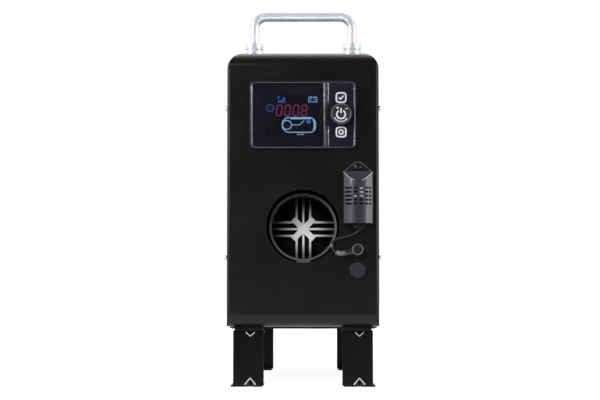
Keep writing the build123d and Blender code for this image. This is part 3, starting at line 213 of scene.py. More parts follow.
def add_node(tree, kind, feeds=None, **settings):
    """New node: settings are its own, feeds go to its inputs."""
    made = tree.nodes.new(kind)
    for name, value in settings.items():
        setattr(made, name, value)
    connect(tree, made.inputs, feeds or {})
    return made


def calculate(tree, operation, *values):
    """Result of a Math node."""
    return add_node(tree, "ShaderNodeMath", dict(enumerate(values)), operation=operation).outputs[0]


def times(tree, product, *factors):
    """Product of values or sockets."""
    for factor in factors:
        product = calculate(tree, "MULTIPLY", product, factor)
    return product


def plus(tree, total, *parts):
    """Sum of values or sockets."""
    for part in parts:
        total = calculate(tree, "ADD", total, part)
    return total


def mix_colours(tree, share, first, second):
    """Result of a Mix node on two colours."""
    return add_node(tree, "ShaderNodeMix", {0: share, 6: first, 7: second}, data_type="RGBA").outputs[2]


def remap(tree, value, low, high, to_low=0.0, to_high=1.0, **settings):
    """Result of a Map Range node."""
    feeds = {0: value, 1: low, 2: high, 3: to_low, 4: to_high}
    return add_node(tree, "ShaderNodeMapRange", feeds, **settings).outputs[0]


def vector_math(tree, operation, *values):
    """Vector Math node's outputs."""
    return add_node(tree, "ShaderNodeVectorMath", dict(enumerate(values)), operation=operation).outputs


def parts_of(tree, vector):
    """X, Y and Z of a vector."""
    return add_node(tree, "ShaderNodeSeparateXYZ", {0: vector}).outputs


def joined(tree, *parts):
    """Vector with the given X, Y and Z."""
    return add_node(tree, "ShaderNodeCombineXYZ", dict(enumerate(parts))).outputs[0]


def noise(tree, vector, scale, detail, roughness=0.5):
    """Value of a Noise texture."""
    feeds = {"Vector": vector, "Scale": scale, "Detail": detail, "Roughness": roughness}
    return add_node(tree, "ShaderNodeTexNoise", feeds).outputs[0]


def new_group(kind, name, inputs, outputs):
    """Node group with named sockets, each given its default or its type; returns its open ends too."""
    group = bpy.data.node_groups.new(name, kind)
    for end, sockets in (("INPUT", inputs), ("OUTPUT", outputs)):
        for label, value in sockets.items():
            holds = value if isinstance(value, str) else "Vector" if isinstance(value, tuple) else "Float"
            socket = group.interface.new_socket(label, in_out=end, socket_type="NodeSocket" + holds)
            if value != holds:
                socket.default_value = value
    return group, group.nodes.new("NodeGroupInput").outputs, group.nodes.new("NodeGroupOutput").inputs


SKIN = {"Height": "Float", "Tone": "Float", "Roughness": "Float"}  # what an effect tells of a surface


def grain_group():
    """Fine grain of a coated or moulded surface, with slow changes of tone."""
    group, given, result = new_group("ShaderNodeTree", "Surface Grain", {
        "Vector": "Vector", "Grain Size": 0.0006, "Roughness": 0.45, "Roughness Spread": 0.08}, SKIN)
    density = calculate(group, "DIVIDE", 1.0, given["Grain Size"])
    fine = noise(group, given["Vector"], density, 2.0, 0.6)
    broad = noise(group, given["Vector"], times(group, density, 0.012), 3.0)
    shift = times(group, plus(group, broad, fine, -1.0), given["Roughness Spread"])
    connect(group, result, {"Height": fine, "Tone": broad, "Roughness": plus(group, given["Roughness"], shift)})
    return group


def dust_group():
    """Mask of the fine dust that settles on faces that look upwards."""
    group, given, result = new_group(
        "ShaderNodeTree", "Settled Dust", {"Vector": "Vector", "Amount": 0.2}, {"Mask": "Float"})
    normal = group.nodes.new("ShaderNodeNewGeometry").outputs["Normal"]
    upward = remap(group, parts_of(group, normal)[2], 0.2, 1.0)
    cover = remap(group, noise(group, given["Vector"], 70.0, 6.0, 0.7), 0.35, 0.75, 0.25, 1.0)
    connect(group, result, {"Mask": times(group, upward, cover, given["Amount"])})
    return group


def scratch_group():
    """Fine drawn lines and rubbed patches of a metal surface."""
    group, given, result = new_group("ShaderNodeTree", "Drawn Lines", {
        "Vector": "Vector", "Stretch": (900.0, 900.0, 40.0), "Roughness": 0.12, "Roughness Spread": 0.1}, SKIN)
    stretched = vector_math(group, "MULTIPLY", given["Vector"], given["Stretch"])[0]
    lines = noise(group, stretched, 1.0, 3.0, 0.6)
    rubbed = noise(group, given["Vector"], 60.0, 4.0)
    shift = times(group, plus(group, times(group, lines, rubbed), -0.25), given["Roughness Spread"])
    connect(group, result, {"Height": lines, "Tone": rubbed, "Roughness": plus(group, given["Roughness"], shift)})
    return group


GROUP_MAKERS = {"Surface Grain": grain_group, "Settled Dust": dust_group, "Drawn Lines": scratch_group}


def effect(tree, name, feeds):
    """Outputs of a shared effect, placed in a material with its own values."""
    group = bpy.data.node_groups.get(name) or GROUP_MAKERS[name]()
    return add_node(tree, "ShaderNodeGroup", feeds, node_tree=group).outputs


def grained(tree, place, size, roughness, spread):
    """Height, tone and roughness of a grained surface."""
    return effect(tree, "Surface Grain", {
        "Vector": place, "Grain Size": size, "Roughness": roughness, "Roughness Spread": spread})


def drawn(tree, place, stretch, roughness, spread):
    """Height, tone and roughness of a surface with drawn lines."""
    return effect(tree, "Drawn Lines", {
        "Vector": place, "Stretch": stretch, "Roughness": roughness, "Roughness Spread": spread})


# ---------------------------------------------------------------- finishes
def new_finish(name, **constants):
    """Material, its tree, its shader's inputs and object coordinates; constants go on the inputs."""
    material = bpy.data.materials.new(name)
    material.use_nodes = True
    tree = material.node_tree
    shader = tree.nodes["Principled BSDF"].inputs
    for socket, value in constants.items():
        shader[socket.replace("_", " ")].default_value = value
    return material, tree, shader, tree.nodes.new("ShaderNodeTexCoord").outputs["Object"]


def colour4(colour, gain=1.0):
    """Colour with its alpha."""
    return (*[part * gain for part in colour[:3]], 1.0)


def shades(tree, value, low, high, colour, dark, light):
    """Colour whose gain goes from dark to light as a value goes from low to high."""
    return mix_colours(tree, remap(tree, value, low, high), colour4(colour, dark), colour4(colour, light))


def bump(tree, height, distance):
    """Normal of a surface whose height is given in metres."""
    return add_node(tree, "ShaderNodeBump", {"Height": height, "Distance": distance, "Strength": 1.0}).outputs[0]


def depth_share(tree, place, start, end):
    """How far a point lies between two depths, in mm behind the front panel's face."""
    return remap(tree, parts_of(tree, place)[1], FRONT + start * MM, FRONT + end * MM)


def axis_share(tree, place, start, end):
    """How far a point lies between two distances from the heater core's axis, in mm."""
    from_axis = vector_math(tree, "SUBTRACT", place, (0, 0, CORE_Z * MM))[0]
    flat = vector_math(tree, "MULTIPLY", from_axis, (1, 0, 1))[0]
    return remap(tree, vector_math(tree, "LENGTH", flat)["Value"], start * MM, end * MM)


def coated(name, colour, grain, roughness, spread=0.10, depth=0.00004, dust=0.04, tone=0.25, inner=None,
           **constants):
    """Opaque coat or moulding: grain, slow changes of tone, and dust on what faces up.

    inner holds a painted shade: the dark colour of the part further in, and the depths where it starts and is
    complete.
    """
    material, tree, shader, place = new_finish(name, **constants)
    surface = grained(tree, place, grain, roughness, spread)
    settled = effect(tree, "Settled Dust", {"Vector": place, "Amount": dust})["Mask"]
    varied = shades(tree, surface["Tone"], 0.3, 0.7, colour, 1 - tone, 1 + tone)
    speck = remap(tree, surface["Height"], 0.62, 0.8, 0.0, 0.35)
    varied = mix_colours(tree, speck, varied, colour4(colour, 2.2))
    # Painted shade: the part further in turns dark, as if shaded by the bore round it.
    if inner:
        varied = mix_colours(tree, depth_share(tree, place, *inner[1:]), varied, colour4(inner[0]))
    connect(tree, shader, {
        "Base Color": mix_colours(tree, settled, varied, (0.34, 0.33, 0.31, 1.0)),
        "Roughness": plus(tree, surface["Roughness"], times(tree, settled, 0.4)),
        "Normal": bump(tree, surface["Height"], depth)})
    return material


def metal(name, colour, roughness, spread, stretch=(900.0, 900.0, 40.0), tone=0.06, share=1.0):
    """Bare or plated metal with drawn lines and rubbed patches; share is less than one for a clouded plating."""
    material, tree, shader, place = new_finish(name, Metallic=share)
    surface = drawn(tree, place, stretch, roughness, spread)
    connect(tree, shader, {
        "Base Color": shades(tree, surface["Tone"], 0.3, 0.7, colour, 1 - tone, 1 + tone),
        "Roughness": surface["Roughness"], "Normal": bump(tree, surface["Height"], 0.000004)})
    return material


def cast_metal(name, colour, roughness, grain, sooted=False):
    """Sand-cast metal: coarse skin, darker in its pits, and if asked painted shade: darker deeper in the outlet
    and further from the core's axis.
    """
    material, tree, shader, place = new_finish(name, Metallic=0.3)
    surface = grained(tree, place, grain, roughness, 0.3)
    varied = shades(tree, surface["Height"], 0.3, 0.65, colour, 0.72, 1.0)
    stain = remap(tree, surface["Tone"], 0.45, 0.7, 0.0, 0.35)
    varied = mix_colours(tree, stain, varied, colour4(colour, 0.8))
    # Painted shade: the casting darkens further from the core's axis and deeper behind the front panel, where the
    # outlet's bore shades it.
    if sooted:
        outer = times(tree, axis_share(tree, place, 12, 27), 0.82)
        bore_shade = calculate(tree, "MAXIMUM", outer, depth_share(tree, place, 70.3, 74.5))
        varied = mix_colours(tree, bore_shade, varied, (0.012, 0.012, 0.014, 1.0))
    connect(tree, shader, {"Base Color": varied, "Roughness": surface["Roughness"],
                           "Normal": bump(tree, surface["Height"], 0.00012)})
    return material


def lit(name, colour, strength):
    """Lit part of the display: its light changes a little from pixel to pixel."""
    material, tree, shader, place = new_finish(name, Roughness=0.5, Emission_Strength=strength)
    surface = grained(tree, place, 0.0005, 0.5, 0.1)
    connect(tree, shader, {
        "Emission Color": shades(tree, surface["Height"], 0.3, 0.7, colour, 0.85, 1.1),
        "Base Color": shades(tree, surface["Height"], 0.3, 0.7, colour, 0.3, 0.5),
        "Roughness": surface["Roughness"]})
    return material


def clear_glass(name, colour, roughness):
    """Clear window: tinted glass with faint wiping marks in its gloss."""
    material, tree, shader, place = new_finish(name, Transmission_Weight=1.0, IOR=1.49)
    surface = drawn(tree, place, (60.0, 60.0, 300.0), roughness, 0.03)
    connect(tree, shader, {
        "Base Color": shades(tree, surface["Tone"], 0.0, 1.0, colour, 0.97, 1.0),
        "Roughness": surface["Roughness"]})
    return material


def circuit_board(name):
    """Green board with copper lines under its mask."""
    material, tree, shader, place = new_finish(name)
    lines = add_node(tree, "ShaderNodeTexBrick", {
        "Vector": place, "Scale": 180.0, "Mortar Size": 0.06, "Color1": (0.010, 0.11, 0.035, 1),
        "Color2": (0.014, 0.14, 0.045, 1), "Mortar": (0.05, 0.24, 0.07, 1)}).outputs
    connect(tree, shader, {
        "Base Color": lines[0], "Normal": bump(tree, lines[1], 0.00003),
        "Roughness": grained(tree, place, 0.0008, 0.35, 0.1)["Roughness"]})
    return material


def finish_table():
    """Each finish's maker and its values, then its options.

    A coat's values are colour, grain and roughness, a metal's are colour, roughness and its spread, and a
    casting's are colour, roughness and grain.
    """
    case, control = bpy.context.scene.heater_case, bpy.context.scene.heater_controller
    coat, glow = case.coat_colour, control.glow
    leg_coat = [0.9 * part for part in coat]
    even = (500.0, 500.0, 500.0)
    return {
        "case powder coat": (coated, coat, case.coat_grain, 0.31, dict(
            spread=0.06, depth=0.00002, dust=0.012, Specular_IOR_Level=0.22)),
        "leg powder coat": (coated, leg_coat, case.coat_grain, 0.34, dict(
            spread=0.06, depth=0.00002, dust=0.012, Specular_IOR_Level=0.12)),
        # Pale coat for painted glints along edges.
        "rubbed coat": (coated, (0.52, 0.52, 0.53), 0.0005, 0.34, dict(spread=0.2, dust=0.0)),
        # Lighter coat of the cover's front rim: a painted highlight.
        "worn cover edge": (coated, (0.28, 0.28, 0.295), 0.0006, 0.34, dict(dust=0.0, depth=0.00001, tone=0.1)),
        "bright chrome": (metal, (0.76, 0.79, 0.85), 0.14, 0.06, dict(share=0.6)),
        "zinc plating": (metal, (0.66, 0.67, 0.68), 0.26, 0.25, dict(stretch=even, tone=0.12)),
        "blackened steel": (metal, (0.055, 0.055, 0.06), 0.28, 0.15, dict(stretch=even, tone=0.15)),
        "drawn steel": (metal, (0.50, 0.50, 0.51), 0.30, 0.25, dict(stretch=(900.0, 60.0, 900.0), tone=0.14)),
        "motor can": (metal, (0.40, 0.40, 0.42), 0.36, 0.25, dict(stretch=(700.0, 50.0, 700.0), tone=0.14)),
        # Bright metal lines on the controller; its rim stands for a highlight on the housing's edge.
        "bezel line": (metal, (0.24, 0.24, 0.26), 0.26, 0.1, dict(tone=0.1)),
        "bare casting": (cast_metal, (0.66, 0.66, 0.67), 0.42, 0.0009, {}),
        # The exchanger's casting carries painted shade deeper in the outlet.
        "exchanger casting": (cast_metal, (0.98, 0.98, 1.0), 0.50, 0.0009, dict(sooted=True)),
        "moulded plastic": (coated, control.plastic_colour, 0.0004, 0.42, dict(dust=0.03, depth=0.00002)),
        "key field": (coated, (0.0052, 0.0056, 0.0120), 0.0007, 0.36, dict(
            dust=0.01, depth=0.00003, tone=0.3, Specular_IOR_Level=0.2)),
        "key plastic": (coated, (0.006, 0.006, 0.012), 0.0005, 0.38, dict(dust=0.01, depth=0.00002)),
        "knob plastic": (coated, (0.013, 0.013, 0.017), 0.0005, 0.36, dict(
            dust=0.01, depth=0.00002, Specular_IOR_Level=0.3)),
        "printed white": (coated, (0.50, 0.51, 0.54), 0.0005, 0.45, dict(dust=0.0, depth=0.00001, tone=0.04)),
        "dark mask": (coated, (0.0120, 0.0125, 0.0260), 0.0006, 0.6, dict(
            dust=0.0, depth=0.0, tone=0.1, Specular_IOR_Level=0.1)),
        "display ground": (coated, (0.0060, 0.0062, 0.0170), 0.0003, 0.6, dict(
            dust=0.0, depth=0.0, tone=0.2, Specular_IOR_Level=0.1)),
        "window glass": (clear_glass, (0.90, 0.92, 0.98), 0.05, {}),
        "digit light": (lit, control.digit_colour, glow, {}),
        "drawing light": (lit, control.drawing_colour, glow, {}),
        "signal light": (lit, (0.030, 0.090, 0.36), glow, {}),
        "clock light": (lit, (0.035, 0.062, 0.22), glow, {}),
        "battery light": (lit, (0.10, 0.27, 0.46), glow, {}),
        "green board": (circuit_board, {}),
        "sensor plastic": (coated, (0.021, 0.022, 0.030), 0.0005, 0.30, dict(dust=0.01, depth=0.00002)),
        "sensor plate": (coated, (0.0055, 0.0055, 0.0065), 0.0005, 0.36, dict(
            dust=0.01, depth=0.00002, Specular_IOR_Level=0.2)),
        "sensor board": (coated, (0.0030, 0.0050, 0.0065), 0.0006, 0.40, dict(
            dust=0.0, depth=0.00002, Specular_IOR_Level=0.3)),
        "pale cap": (coated, (0.80, 0.81, 0.82), 0.0006, 0.40, dict(dust=0.0, depth=0.00001, tone=0.05)),
        # Lighter grey for thin painted highlights on rims and edges.
        "worn edge": (coated, (0.080, 0.080, 0.088), 0.0004, 0.30, dict(
            spread=0.15, dust=0.0, depth=0.00001, tone=0.2)),
        # Lighter grey of the relief ribs: a painted sheen.
        "moulded rib": (coated, (0.26, 0.26, 0.275), 0.0004, 0.22, dict(
            spread=0.15, dust=0.0, depth=0.00001, tone=0.2)),
        "glossy sheath": (coated, (0.010, 0.010, 0.011), 0.0006, 0.16, dict(dust=0.01, depth=0.00001)),
        # Darker copy of black rubber: painted shade from the pod above the gland.
        "gland rubber": (coated, (0.0045, 0.0045, 0.0055), 0.0006, 0.5, dict(dust=0.0, Specular_IOR_Level=0.2)),
        "soft black rubber": (coated, (0.010, 0.010, 0.012), 0.0006, 0.55, dict(dust=0.03)),
        "blanking plug rubber": (coated, (0.016, 0.016, 0.024), 0.0006, 0.45, dict(
            dust=0.01, Specular_IOR_Level=0.3)),
        # The ring's bore wall gets painted shade from 23.2 mm behind the panel's face.
        "ring plastic": (coated, (0.060, 0.060, 0.068), 0.0006, 0.40, dict(
            dust=0.0, inner=((0.0015, 0.0015, 0.0018), 23.2, 24.0))),
        "core plastic": (coated, (0.020, 0.020, 0.021), 0.0008, 0.5, dict(dust=0.06, depth=0.00005)),
        "grey housing": (coated, (0.16, 0.16, 0.165), 0.0006, 0.5, {}),
        "pressed gasket": (coated, (0.10, 0.095, 0.085), 0.0008, 0.75, dict(dust=0.05, depth=0.00006)),
        "tank moulding": (coated, (0.62, 0.61, 0.56), 0.0012, 0.42, dict(
            dust=0.05, depth=0.00005, tone=0.06, Subsurface_Weight=0.2)),
        "fuel line nylon": (coated, (0.55, 0.50, 0.36), 0.0006, 0.3, dict(
            dust=0.02, depth=0.00001, tone=0.08, Subsurface_Weight=0.15)),
    }


def finish_of(name):
    """The named finish, made when it is first asked for."""
    if name not in bpy.data.materials:
        maker, *values, options = finish_table()[name]
        maker(name, *values, **options)
    return bpy.data.materials[name]


# ---------------------------------------------------------------- shapes
def at(x, depth, z):
    """Point in metres; x and z in mm, depth in mm behind the front panel's outer face."""
    return Vector((x * MM, FRONT + depth * MM, z * MM))


def direction(turn):
    """Flat way at an angle in degrees from the right, anticlockwise."""
    return Vector((math.cos(math.radians(turn)), math.sin(math.radians(turn))))


def eased(points, radius, steps=3, closed=False):
    """Polyline with its inner corners eased by short arcs."""
    result = []
    for place, corner in enumerate(points):
        if not closed and place in (0, len(points) - 1):
            result.append(tuple(corner))
            continue
        here = Vector(corner)
        back = Vector(points[place - 1]) - here
        onward = Vector(points[(place + 1) % len(points)]) - here
        reach = min(radius, 0.45 * back.length, 0.45 * onward.length)
        start, end = here + back.normalized() * reach, here + onward.normalized() * reach
        for step in range(steps + 1):
            share = step / steps
            spot = start * (1 - share) ** 2 + here * (2 * share * (1 - share)) + end * share**2
            result.append(tuple(spot))
    return result


def turned(form, profile, centre, axis, steps=96):
    """Adds a body turned round an axis; profile holds (radius, distance along the axis) in mm.

    It runs from pole to pole, or is a closed ring where its first radius isn't nought.
    """
    turn = axis.to_track_quat("Z", "Y").to_matrix()
    rows = []
    for radius, along in profile:
        count = steps if radius > 0 else 1
        ways = [direction(360 * step / count) * radius for step in range(count)]
        rows.append([form.verts.new(centre + turn @ Vector((way.x, way.y, along)) * MM) for way in ways])
    following = rows[1:] + (rows[:1] if profile[0][0] > 0 else [])
    for here, there in zip(rows, following):
        for step in range(steps):
            onward = (step + 1) % steps
            corners = [here[step % len(here)], here[onward % len(here)],
                       there[onward % len(there)], there[step % len(there)]]
            form.faces.new(list(dict.fromkeys(corners)))
    return form


def swept(form, path, radius, steps):
    """Adds a closed rod of one radius along points in metres."""
    side = None
    rows = []
    ring = [direction(360 * step / steps) * radius for step in range(steps)]
    for place, point in enumerate(path):
        way = (path[min(place + 1, len(path) - 1)] - path[max(place - 1, 0)]).normalized()
        side = (side - way * side.dot(way)).normalized() if side else way.orthogonal().normalized()
        across = way.cross(side)
        rows.append([form.verts.new(point + side * spot.x + across * spot.y) for spot in ring])
    for here, there in zip(rows, rows[1:]):
        for step in range(steps):
            form.faces.new((here[step - 1], here[step], there[step], there[step - 1]))
    form.faces.new(rows[0])
    form.faces.new(rows[-1])
    return form


def raised_shape(form, outline, depths):
    """Adds a thin solid with an outline of (x, z) in mm between two depths."""
    near, far = ([form.verts.new(at(x, depth, z)) for x, z in outline] for depth in depths)
    form.faces.new(near)
    form.faces.new(far)
    for place in range(len(outline)):
        form.faces.new((near[place - 1], near[place], far[place], far[place - 1]))


def raised_line(form, points, width, depths, closed=False, lift=0.0):
    """Adds a thin solid line of one width through points of (x, z) in mm; lift brings its face forward."""
    rims = []
    last = len(points) - 1
    for place, point in enumerate(points):
        here = Vector(point)
        ways = []
        if closed or place > 0:
            ways.append((here - Vector(points[place - 1])).normalized())
        if closed or place < last:
            ways.append((Vector(points[(place + 1) % len(points)]) - here).normalized())
        way = sum(ways, Vector((0, 0))).normalized()
        normal = Vector((-way.y, way.x))
        reach = width / 2 / max(0.45, normal.dot(Vector((-ways[0].y, ways[0].x))))
        rims.append([
            form.verts.new(at(spot.x, depth, spot.y))
            for spot in (here + normal * reach, here - normal * reach) for depth in (depths[0] - lift, depths[1])
        ])
    for here, there in zip(rims, rims[1:] + (rims[:1] if closed else [])):
        for one, other in ((0, 2), (1, 3), (0, 1), (2, 3)):
            form.faces.new((here[one], there[one], there[other], here[other]))
    if not closed:
        for end in (rims[0], rims[-1]):
            form.faces.new((end[0], end[1], end[3], end[2]))


def raised_frame(form, outer, inner, depths):
    """Adds a thin solid between two outlines of (x, z) in mm that have the same number of points."""
    near, far = (
        [[form.verts.new(at(x, depth, z)) for x, z in line] for line in (outer, inner)] for depth in depths)
    for step in range(len(outer)):
        for one, other in ((near[0], near[1]), (far[0], far[1]), (near[0], far[0]), (near[1], far[1])):
            form.faces.new((one[step - 1], one[step], other[step], other[step - 1]))


def circle_points(centre, radius, start=0.0, end=360.0, count=32):
    """Points on a circle or arc, angles in degrees from the right, anticlockwise."""
    steps = count if abs(end - start) >= 360 else count - 1
    turns = [start + (end - start) * step / steps for step in range(count)]
    return [tuple(Vector(centre) + direction(turn) * radius) for turn in turns]


def rounded_box(left, right, bottom, top, radius, steps=6):
    """Outline of a box with round corners."""
    outline = []
    for x, z, turn in ((right, top, 0), (left, top, 90), (left, bottom, 180), (right, bottom, 270)):
        centre = (x - radius if x == right else x + radius, z - radius if z == top else z + radius)
        outline += circle_points(centre, radius, turn, turn + 90, steps + 1)
    return outline


def shade(mesh, angle):
    """Smooth shading that breaks at edges over an angle in degrees."""
    mesh.shade_smooth()
    mesh.set_sharp_from_angle(angle=math.radians(angle))


def settle(form, smooth=30.0):
    """Closes a form: doubles merged, faces outward, smooth but for its edges. Returns its mesh."""
    bmesh.ops.remove_doubles(form, verts=form.verts, dist=1e-7)
    bmesh.ops.recalc_face_normals(form, faces=form.faces)
    mesh = bpy.data.meshes.new("form")
    form.to_mesh(mesh)
    form.free()
    shade(mesh, smooth)
    return mesh


def place_piece(name, mesh, body, finish=None, nodes=()):
    """Object at the origin that rides on a CAD body and stands for CAD nodes."""
    mesh.name = name
    if finish:
        mesh.materials.append(finish_of(finish))
    piece = bpy.data.objects.new(name, mesh)
    bpy.context.scene.collection.objects.link(piece)
    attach(piece, body)
    if nodes:
        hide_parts(*nodes)
    return piece


def break_edges(piece, width, segments=2):
    """Rounds the piece's edges by a live Bevel."""
    bevel = piece.modifiers.new("Broken Edges", "BEVEL")
    bevel.width = width
    bevel.segments = segments
    bevel.limit_method = "ANGLE"
    bevel.angle_limit = math.radians(30)
    return piece


def merged_form(node):
    """The CAD node's surface as one skin, its flat triangles joined into faces."""
    form = bmesh.new()
    form.from_mesh(frame["nodes"][node].data)
    bmesh.ops.remove_doubles(form, verts=form.verts, dist=2e-6)
    bmesh.ops.dissolve_limit(form, angle_limit=math.radians(0.3), verts=form.verts, edges=form.edges)
    return form


def finished_copy(node, finish, width, segments=2, form=None):
    """Stands for a CAD node: its shape, or a form made from it, with its skin merged and its edges broken."""
    mesh = settle(form or merged_form(node))
    piece = place_piece(node + "_finished", mesh, frame["nodes"][node]["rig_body"], finish, (node,))
    return break_edges(piece, width, segments)


def dress(finishes):
    """Puts a finish on each CAD node that stays as it is."""
    for node, finish in finishes.items():
        for place in frame["nodes"][node].material_slots:
            place.material = finish_of(finish)


def sign(name, finish, depths, lines=(), shapes=(), body="case"):
    """A raised sign of lines (points, width, closed, lift) and solid outlines between two depths."""
    form = bmesh.new()
    for points, width, *options in lines:
        raised_line(form, points, width, depths, *options)
    for outline in shapes:
        raised_shape(form, outline, depths)
    return place_piece(name, settle(form), body, finish)


# ---------------------------------------------------------------- repeated hardware
def grow(tree_maker, places, values, finish, smooth=None):
    """Plain mesh of what a Geometry Nodes tree puts at the given places."""
    mesh = bpy.data.meshes.new("places")
    mesh.from_pydata([place for place, outward in places], [], [])
    outwards = mesh.attributes.new("outward", "FLOAT_VECTOR", "POINT")
    for point, (place, outward) in enumerate(places):
        outwards.data[point].vector = outward
    holder = bpy.data.objects.new("holder", mesh)
    bpy.context.scene.collection.objects.link(holder)
    tree = tree_maker()
    modifier = holder.modifiers.new("Growth", "NODES")
    modifier.node_group = tree
    sockets = {item.name: item.identifier for item in tree.interface.items_tree if item.in_out == "INPUT"}
    for name, value in {**values, "Finish": finish_of(finish)}.items():
        modifier[sockets[name]] = value
    graph = bpy.context.evaluated_depsgraph_get()
    grown = bpy.data.meshes.new_from_object(holder.evaluated_get(graph))
    bpy.data.objects.remove(holder)
    if smooth:
        shade(grown, smooth)
    return grown


def hardware_tree(name, sizes):
    """Geometry Nodes tree for bodies that stand on places, with its sizes as named inputs."""
    return new_group("GeometryNodeTree", name, {"Places": "Geometry", "Finish": "Material", **sizes},
                     {"Grown": "Geometry"})


def stand_on_places(tree, given, result, *bodies):
    """Puts the bodies on every place, turned to its outward way, and ends the tree."""
    whole = add_node(tree, "GeometryNodeJoinGeometry")
    for body in bodies:
        tree.links.new(body, whole.inputs[0])
    outward = add_node(tree, "GeometryNodeInputNamedAttribute", {"Name": "outward"}, data_type="FLOAT_VECTOR")
    turn = add_node(tree, "FunctionNodeAlignRotationToVector", {"Vector": outward.outputs[0]}, axis="Z")
    standing = add_node(tree, "GeometryNodeInstanceOnPoints", {
        "Points": given["Places"], "Instance": whole.outputs[0], "Rotation": turn.outputs[0]})
    real = add_node(tree, "GeometryNodeRealizeInstances", {0: standing.outputs[0]})
    painted = add_node(tree, "GeometryNodeSetMaterial", {"Geometry": real.outputs[0], "Material": given["Finish"]})
    tree.links.new(painted.outputs[0], result[0])


def cylinder(tree, corners, radius, depth, rows=1, rings=1):
    """Upright cylinder round the origin."""
    return add_node(tree, "GeometryNodeMeshCylinder", {
        "Vertices": corners, "Side Segments": rows, "Fill Segments": rings, "Radius": radius,
        "Depth": depth}).outputs[0]


def lifted(tree, body, rise):
    """A body moved up."""
    return add_node(tree, "GeometryNodeTransform", {
        "Geometry": body, "Translation": joined(tree, 0.0, 0.0, rise)}).outputs[0]


def position(tree):
    """X, Y and Z of each point."""
    return parts_of(tree, tree.nodes.new("GeometryNodeInputPosition").outputs[0])


def narrowed(tree, body, share, z):
    """A body whose points draw in to a share of their distance from its axis, at new heights."""
    x, y, _ = position(tree)
    spot = joined(tree, times(tree, x, share), times(tree, y, share), z)
    return add_node(tree, "GeometryNodeSetPosition", {"Geometry": body, "Position": spot}).outputs[0]


def shank(tree, given):
    """Shank that reaches back from the origin."""
    rod = cylinder(tree, 24, given["Shank Radius"], given["Shank Length"])
    return lifted(tree, rod, times(tree, given["Shank Length"], -0.5))


def pan_screw_tree():
    """Pan-head screws with a cross recess."""
    tree, given, result = hardware_tree("Pan Head Screws", {
        "Head Radius": 0.0034, "Head Height": 0.0026, "Shank Radius": 0.002, "Shank Length": 0.007,
        "Recess Width": 0.0009, "Recess Depth": 0.0013})
    radius, height = given["Head Radius"], given["Head Height"]
    x, y, z = position(tree)
    rise = plus(tree, calculate(tree, "DIVIDE", z, height), 0.5)
    shoulder = plus(tree, 1.0, times(tree, calculate(tree, "POWER", rise, 3.0), -0.42))
    squares = plus(tree, times(tree, x, x), times(tree, y, y))
    outward = calculate(tree, "DIVIDE", squares, times(tree, radius, radius))
    crown = times(tree, outward, -0.22, rise, height)
    level = plus(tree, z, times(tree, height, 0.5), crown)
    head = narrowed(tree, cylinder(tree, 48, radius, height, 8, 8), calculate(tree, "SQRT", shoulder), level)
    cut = add_node(tree, "GeometryNodeMeshBoolean", {"Mesh 1": head}, operation="DIFFERENCE")
    reach, width = times(tree, radius, 1.15), given["Recess Width"]
    for size in ((reach, width), (width, reach)):
        arm = add_node(tree, "GeometryNodeMeshCube", {"Size": joined(tree, *size, given["Recess Depth"])})
        tree.links.new(lifted(tree, arm.outputs[0], height), cut.inputs["Mesh 2"])
    stand_on_places(tree, given, result, cut.outputs[0], shank(tree, given))
    return tree


def hex_bolt_tree():
    """Hexagon bolts with their nuts; the bolt's head stands on its place and the nut lies behind it."""
    tree, given, result = hardware_tree("Hexagon Bolts", {
        "Corner Radius": 0.0046, "Head Height": 0.003, "Shank Radius": 0.00245, "Shank Length": 0.0095,
        "Nut Distance": 0.0055, "Nut Height": 0.004})
    corner, height = given["Corner Radius"], given["Head Height"]
    head = lifted(tree, cylinder(tree, 6, corner, height), times(tree, height, 0.5))
    nut_middle = calculate(tree, "SUBTRACT", times(tree, given["Nut Height"], -0.5), given["Nut Distance"])
    nut = lifted(tree, cylinder(tree, 6, corner, given["Nut Height"]), nut_middle)
    stand_on_places(tree, given, result, head, nut, shank(tree, given))
    return tree


def rib_tree():
    """Round-edged discs, square to their places' outward ways."""
    tree, given, result = hardware_tree("Relief Ribs", {"Crest Radius": 0.0025, "Width": 0.0009})
    z = position(tree)[2]
    out = calculate(tree, "DIVIDE", z, times(tree, given["Width"], 0.5))
    share = plus(tree, 1.0, times(tree, out, out, -0.13))
    disc = cylinder(tree, 40, given["Crest Radius"], given["Width"], 6)
    stand_on_places(tree, given, result, narrowed(tree, disc, share, z))
    return tree


